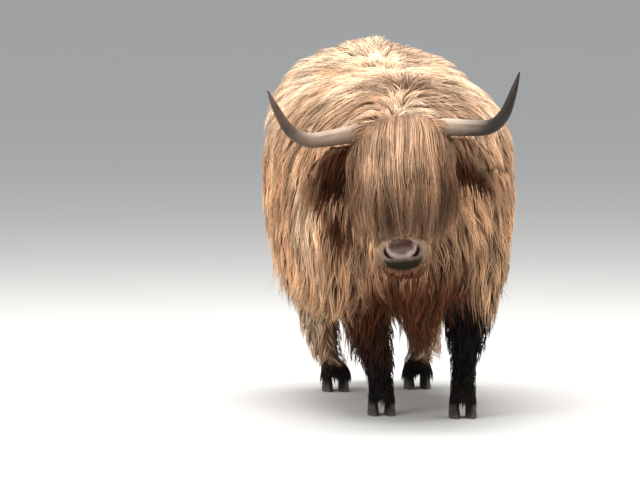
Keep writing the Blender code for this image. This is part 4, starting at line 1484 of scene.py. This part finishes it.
class COW_OT_head_coat(bpy.types.Operator):
    """Grows the short hair of the face and muzzle, and the ears' hair"""

    bl_idname = "cow.head_coat"
    bl_label = "Head coat"

    def execute(self, context):
        skin = work["skin"]
        haired = 1 - np.clip(skin.fields["bare"] * 1.5, 0, 1)
        head = (skin.fields["head"] + skin.fields["muzzle"]) * haired * (1 - skin.fields["lid"])
        down, out, aside = face_place(skin.points)
        nose = ease(0.36, 0.42, down)
        covered = ease(-0.06, 0.0, out) * ease(0.34, 0.28, down)
        cheek = ease(0.35, -0.10, skin.normals @ FACE_OUT) * ease(0.02, 0.10, down)
        length = 0.050 + 0.090 * cheek * ease(0.40, 0.30, down)
        grown("coat_face", head * (1 - nose) * (1 - 0.85 * covered), 2600, length, 0.0042,
              cheek_lie, 0.8, face_map, rings=5, wave=0.6, seed=21, draw=0.5, stick=0.3)
        length = 0.015 + 0.024 * skin.fields["from_pad"]
        grown("coat_muzzle", head * nose, 3400, length, 0.0027, cheek_lie, 0.30, face_map,
              rings=3, wave=0.2, seed=22, draw=0.45, stick=0.5)
        length = 0.080 + 0.050 * ease(0.18, 0.28, np.abs(aside))
        grown("coat_ears", skin.total(EARS), 2400, length, 0.0036, ear_lie, 1.0, face_map,
              rings=5, wave=0.7, seed=23, draw=0.45, push=0.55)
        return {"FINISHED"}


def round_horns(paths, layer):
    """Moves the points that lie in a horn's foot straight out from its middle line."""
    for _, side in SIDES:
        middle, _, _, _, outward = horn_line(side, 60)
        foot = middle[np.searchsorted(outward, 0.080)]
        way = unit(middle[np.searchsorted(outward, 0.180)] - foot)
        offset = paths - foot
        length = offset @ way
        square = offset - length[..., None] * way
        gap = np.linalg.norm(square, axis=-1)
        clear = 0.033 + 0.006 * layer[:, None]
        push = np.maximum(clear - gap, 0) * ease(-0.06, -0.02, length)
        paths = paths + unit(square) * push[..., None]
    return paths


def outer_side(tree, middles, rays, far=0.5):
    """How far out from each middle the form's outer side is, seen from outside; NaN for a miss."""
    origins = (middles + rays * far).reshape(-1, 3).tolist()
    inward = (-rays).reshape(-1, 3).tolist()
    hits = [tree.ray_cast(origin, way)[3] for origin, way in zip(origins, inward)]
    gaps = np.array([math.nan if hit is None else far - hit for hit in hits])
    return gaps.reshape(rays.shape[:-1])


class COW_OT_fringe(bpy.types.Operator):
    """Grows the long fringe from the poll down over the face, ending in points above the nose"""

    bl_idname = "cow.fringe"
    bl_label = "Fringe"

    def execute(self, context):
        """A strand keeps its turn about the head while it goes down the face.

        At each step it is as far out as the forelock's form is there, times its own layer, and
        past the form's end it draws in. Upper layers start behind the poll and arch over it, and
        whatever meets a horn's foot goes round it.
        """
        coat = context.scene.cow_coat
        rng = np.random.default_rng(coat.seed + 24)
        count, rings = lock_count(3300), 8
        locks, clumps = max(6, count // 36), max(8, count // 7)
        lock = rng.integers(0, locks, clumps)
        lock_turn = -1.75 + 3.5 * (np.arange(locks) + rng.random(locks)) / locks
        turn = lock_turn[lock] + rng.normal(0, 0.11, clumps)
        layer = rng.uniform(0.25, 1.0, locks)[lock] + rng.normal(0, 0.08, clumps)
        start = rng.uniform(-0.068, -0.030, clumps) + 0.14 * rng.random(clumps) * (1 - layer)
        end = rng.uniform(0.435, 0.492, locks)[lock] - 0.05 * ease(0.9, 1.7, np.abs(turn))
        owner = rng.integers(0, clumps, count)
        lock = lock[owner]
        turn = turn[owner] + rng.normal(0, 0.055, count)
        t = np.linspace(0, 1, rings + 1)[None, :]
        begin = start[owner] + rng.normal(0, 0.008, count)
        finish = end[owner] - 0.11 * rng.random(count) ** 2
        down = begin[:, None] + (finish - begin)[:, None] * t
        phase = rng.random(locks)[lock, None] + rng.normal(0, 0.06, (count, 1))
        size = rng.uniform(0.3, 1.5, locks)[lock, None]
        swing = 0.050 * np.sin(FULL_TURN * (1.7 * t + phase)) * ease(0.1, 0.6, t) * size
        pull = lock_turn[lock] - turn
        turns = turn[:, None] + pull[:, None] * 0.85 * t**1.6 + swing
        ray = between_ways(turns, FACE_OUT, HEAD_LEFT)
        middle = on_face(down, -0.090, 0.0)
        place, triangles = node_shape("forelock")
        form = BVHTree.FromPolygons(place.tolist(), triangles.tolist())
        outer = outer_side(form, middle, ray)
        beyond = np.isnan(outer)
        # known fault: where a root's ray misses the skin, inner and the lock's first rings are NaN
        inner = outer_side(work["skin"].search_tree(), middle, ray)
        inner = np.minimum(inner, np.where(beyond, 0.17, outer - 0.005))
        outer = np.where(beyond, inner + 0.01, outer)
        ripple = 0.09 * np.sin(FULL_TURN * (1.3 * t + 3 * phase)) * ease(0.1, 0.5, t)
        share = layer[owner, None] + rng.normal(0, 0.08, (count, 1)) + ripple
        share = np.clip(share * ease(-0.25, 0.20, t), 0.02, 1.04)
        reach = inner + 0.004 + np.maximum(outer - inner, 0.004) * share
        for ring in range(rings // 2, rings + 1):
            reach[:, ring] = np.where(beyond[:, ring], 0.91 * reach[:, ring - 1], reach[:, ring])
        reach[:, 1:-1] = (reach[:, :-2] + 2 * reach[:, 1:-1] + reach[:, 2:]) / 4
        paths = round_horns(middle + ray * reach[..., None], layer[owner])
        place_down, _, aside = face_place(paths)
        flare = rng.uniform(0.10, 0.60, locks)[lock, None]
        fuller = aside * flare * ease(0.16, 0.40, place_down)
        paths = paths + fuller[..., None] * HEAD_LEFT
        # painted light and shade: the fringe is paler at the top and darker and redder lower down, a
        # share of its locks is painted dark lower down as the shade between them, and its sides are
        # redder as the shade beside the ears
        lower = ease(0.02, 0.36, place_down)
        gap = (rng.random(locks) < 0.24)[lock, None] * lower
        pale = 0.32 * (1 - lower) + 0.12 * rng.random((count, 1))
        red = 0.05 + 0.42 * lower + 0.16 * rng.random((count, 1))
        tone = 0.85 * rng.random(clumps)[owner] + 0.45 * rng.random(count) - 0.22
        marks = {
            "pale": pale,
            "red": red + 0.40 * ease(0.09, 0.17, np.abs(aside)),
            "dark": 0.12 * lower + 0.45 * gap,
            "tone": tone,
            "layer": np.clip(layer[owner], 0, 1),
        }
        widths = coat.width * 0.72 * rng.uniform(0.5, 1.3, count)
        roots = face_map(paths[:, 1])
        piece = lock_mesh("coat_fringe", paths, ray, widths, marks, roots, rng)
        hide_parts("forelock")
        return {"FINISHED"}


class COW_OT_collars(bpy.types.Operator):
    """Grows short locks round each horn's foot that lie along it and droop at their tips"""

    bl_idname = "cow.collars"
    bl_label = "Horn collars"

    def execute(self, context):
        coat = context.scene.cow_coat
        rng = np.random.default_rng(coat.seed + 25)
        count = 300
        t = np.linspace(0, 1, 5)[None, :]
        for word, side in SIDES:
            middle, across, rise, radius, outward = horn_line(side, 60)
            turn = rng.uniform(0, FULL_TURN, count)
            layer = rng.uniform(0, 1, count)
            start = rng.uniform(0.070, 0.125, count)
            end = start + rng.uniform(0.035, 0.075, count)
            at = start[:, None] + (end - start)[:, None] * t
            turns = turn[:, None] - 0.5 * t * np.sign(np.cos(turn))[:, None]
            rows = np.concatenate([middle, across * side, rise, radius[:, None]], axis=1)
            found = np.stack([np.interp(at, outward, column) for column in rows.T], axis=-1)
            ring = between_ways(turns, found[..., 3:6], found[..., 6:9])
            gap = found[..., 9] + 0.001 + 0.007 * layer[:, None] * ease(0, 0.4, t)
            paths = found[..., :3] + gap[..., None] * ring
            paths[..., 2] -= 0.014 * t**2 * layer[:, None]
            # painted shade: the locks under each horn's foot are redder and darker
            marks = {
                "pale": 0.25 * rng.random(count),
                "red": 0.30 + 0.5 * ease(0.2, -0.5, np.sin(turn)),
                "dark": 0.35 * ease(0.0, -0.6, np.sin(turn)),
                "tone": rng.random(count),
                "layer": layer,
            }
            widths = coat.width * 0.8 * rng.uniform(0.6, 1.2, count)
            roots = face_map(paths[:, 0])
            lock_mesh(f"coat_horn_{word}", paths, ring, widths, marks, roots, rng)
        return {"FINISHED"}


class COW_OT_leg_coat(bpy.types.Operator):
    """Grows the feathering of the upper legs and the short hair of shanks and coronets"""

    bl_idname = "cow.leg_coat"
    bl_label = "Leg coat"

    def execute(self, context):
        skin = work["skin"]
        width = context.scene.cow_coat.width
        shank = skin.total(SHANKS)
        z = skin.points[:, 2]
        length = 0.080 + 0.06 * ease(0.25, 0.55, z)
        grown("coat_legs", skin.total(LEGS), 4200, length, width * 0.9, fall, 0.9, limb_map,
              rings=5, wave=0.7, seed=31, stick=0.35)
        grown("coat_shanks", shank * ease(0.060, 0.080, z), 2100, 0.036, 0.0038, fall, 0.9,
              limb_map, rings=3, wave=0.2, seed=32, draw=0.5, stick=0.6)
        hem = shank * ease(0.100, 0.075, z) * ease(-0.7, -0.3, skin.normals[:, 2])
        grown("coat_coronets", hem, 1300, 0.036, 0.0036, fall, 1.0, limb_map,
              rings=3, wave=0.2, seed=33, draw=0.3, push=0.42)
        return {"FINISHED"}


class COW_OT_tail_coat(bpy.types.Operator):
    """Grows the hair of the tail and its switch"""

    bl_idname = "cow.tail_coat"
    bl_label = "Tail coat"

    def execute(self, context):
        skin = work["skin"]
        width = context.scene.cow_coat.width
        _, y, z = skin.points.T
        tail = skin.fields["tail"]
        bottom = ease(0.80, 0.66, z)
        rump_end = ease(0.98, 1.08, z) * ease(0.72, 0.84, y)
        root = rump_end * ease(0.62, 0.30, skin.fields["trunk"]) * (1 - skin.fields["udder"])
        grown("coat_tail", tail * (1 - 0.5 * bottom) + 2.2 * root, 1250, 0.12, width * 0.85,
              fall, 0.8, tail_map, rings=4, wave=0.4, seed=41)
        piece = grown("coat_switch", tail * bottom, 700, 0.42, width, switch_lie, 1.0, tail_map,
                      rings=8, wave=1.2, waves=2.0, seed=42, push=0.10)
        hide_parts("tail_switch")
        return {"FINISHED"}


# ---------------------------------------------------------------- stage
FLOOR_HALF = 90.0
CAMERA_TURN, CAMERA_RISE = math.radians(-6), math.radians(4)
CAMERA_DISTANCE, CAMERA_LENS, SENSOR = 30.0, 474.2, 36.0
AIM_HEIGHT, AIM_ASIDE = 0.63, 0.364  # the camera's aim: its height, and left of the forefeet
# name, place, size, power, colour
LIGHTS = (
    ("overhead", (MIDLINE - 0.2, 0.5, 6.5), 6.0, 850.0, (1.0, 0.985, 0.96)),
    ("key", (-5.0, -6.0, 5.5), 4.0, 350.0, (1.0, 0.98, 0.95)),
    ("fill", (6.0, -7.0, 3.0), 5.0, 130.0, (0.96, 0.98, 1.0)),
)


def aim(item, target):
    """Turns a camera or a light so that its -Z looks at the target, with Y kept up."""
    way = unit(np.array(target, float) - np.array(item.location))
    right = unit(np.cross(way, (0, 0, 1)))
    up = np.cross(right, way)
    turned = Matrix(np.stack([right, up, -way], axis=1).tolist()).to_4x4()
    item.matrix_world = Matrix.Translation(item.location) @ turned


class COW_OT_stage(bpy.types.Operator):
    """Makes the pale floor, the soft lights and the camera"""

    bl_idname = "cow.stage"
    bl_label = "Stage"

    def execute(self, context):
        look, scene = context.scene.cow_stage, context.scene
        finish = Finish("floor", Roughness=0.9, Specular_IOR_Level=0.1)
        shade = tuple(0.97 * part for part in look.floor)
        finish.set("Base Color", finish.mix(finish.noise(3.0, 4.0), tuple(look.floor), shade))
        corners = FLOOR_HALF * np.array([[-1, -1, 0], [1, -1, 0], [-1, 1, 0], [1, 1, 0]])
        new_piece("floor", corners, [0, 1, 3, 2], [4], finish.material, None)
        scene.world = bpy.data.worlds.new("sky")
        scene.world.use_nodes = True
        background = scene.world.node_tree.nodes["Background"]
        background.inputs["Color"].default_value = (0.94, 0.97, 1.0, 1.0)
        background.inputs["Strength"].default_value = look.sky
        scene.view_settings.view_transform = "Standard"
        for name, place, size, power, colour in LIGHTS:
            light = bpy.data.lights.new(name, "AREA")
            light.size = size
            light.energy = power
            light.color = colour
            lamp = linked(name, light)
            lamp.location = place
            aim(lamp, (MIDLINE, 0.0, 0.7))
        camera = bpy.data.cameras.new("camera")
        camera.lens = CAMERA_LENS
        camera.sensor_width = SENSOR
        camera.clip_end = 400.0
        eye = linked("camera", camera)
        right = np.array([math.cos(CAMERA_TURN), math.sin(CAMERA_TURN), 0.0])
        level = np.array([math.sin(CAMERA_TURN), -math.cos(CAMERA_TURN), 0.0])
        back = level * math.cos(CAMERA_RISE) + np.array([0, 0, math.sin(CAMERA_RISE)])
        fore = (centre("foreleg_left_claw_left") + centre("foreleg_right_claw_right")) / 2
        target = np.array([fore[0], fore[1], AIM_HEIGHT]) - AIM_ASIDE * right
        eye.location = target + CAMERA_DISTANCE * back
        aim(eye, target)
        scene.camera = eye
        return {"FINISHED"}


# ---------------------------------------------------------------- panel
OPERATORS = (
    COW_OT_skin,
    COW_OT_eyes,
    COW_OT_horns,
    COW_OT_claws,
    COW_OT_body_coat,
    COW_OT_neck_coat,
    COW_OT_head_coat,
    COW_OT_fringe,
    COW_OT_collars,
    COW_OT_leg_coat,
    COW_OT_tail_coat,
    COW_OT_stage,
)
GROUPS = {"cow_coat": CoatLook, "cow_skin": SkinLook, "cow_horn": HornLook, "cow_stage": StageLook}


class COW_PT_panel(bpy.types.Panel):
    """Lists the cow's settings and its pieces"""

    bl_idname = "COW_PT_panel"
    bl_label = "Highland cow"
    bl_space_type = "VIEW_3D"
    bl_region_type = "UI"
    bl_category = "Highland cow"

    def draw(self, context):
        for name, group in GROUPS.items():
            panel_box = self.layout.box()
            for key in group.__annotations__:
                panel_box.prop(getattr(context.scene, name), key)
        for operator in OPERATORS:
            self.layout.operator(operator.bl_idname)


def register():
    """Registers the settings, the operators and the panel."""
    for name, group in GROUPS.items():
        bpy.utils.register_class(group)
        setattr(bpy.types.Scene, name, bpy.props.PointerProperty(type=group))
    for item in (*OPERATORS, COW_PT_panel):
        bpy.utils.register_class(item)


def unregister():
    """Takes all of it out again."""
    for item in (COW_PT_panel, *reversed(OPERATORS)):
        bpy.utils.unregister_class(item)
    for name, group in GROUPS.items():
        delattr(bpy.types.Scene, name)
        bpy.utils.unregister_class(group)


def main():
    """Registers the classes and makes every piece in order."""
    register()
    bpy.ops.cow.skin()
    bpy.ops.cow.eyes()
    bpy.ops.cow.horns()
    bpy.ops.cow.claws()
    bpy.ops.cow.body_coat()
    bpy.ops.cow.neck_coat()
    bpy.ops.cow.head_coat()
    bpy.ops.cow.fringe()
    bpy.ops.cow.collars()
    bpy.ops.cow.leg_coat()
    bpy.ops.cow.tail_coat()
    bpy.ops.cow.stage()


if __name__ == "__main__":
    main()
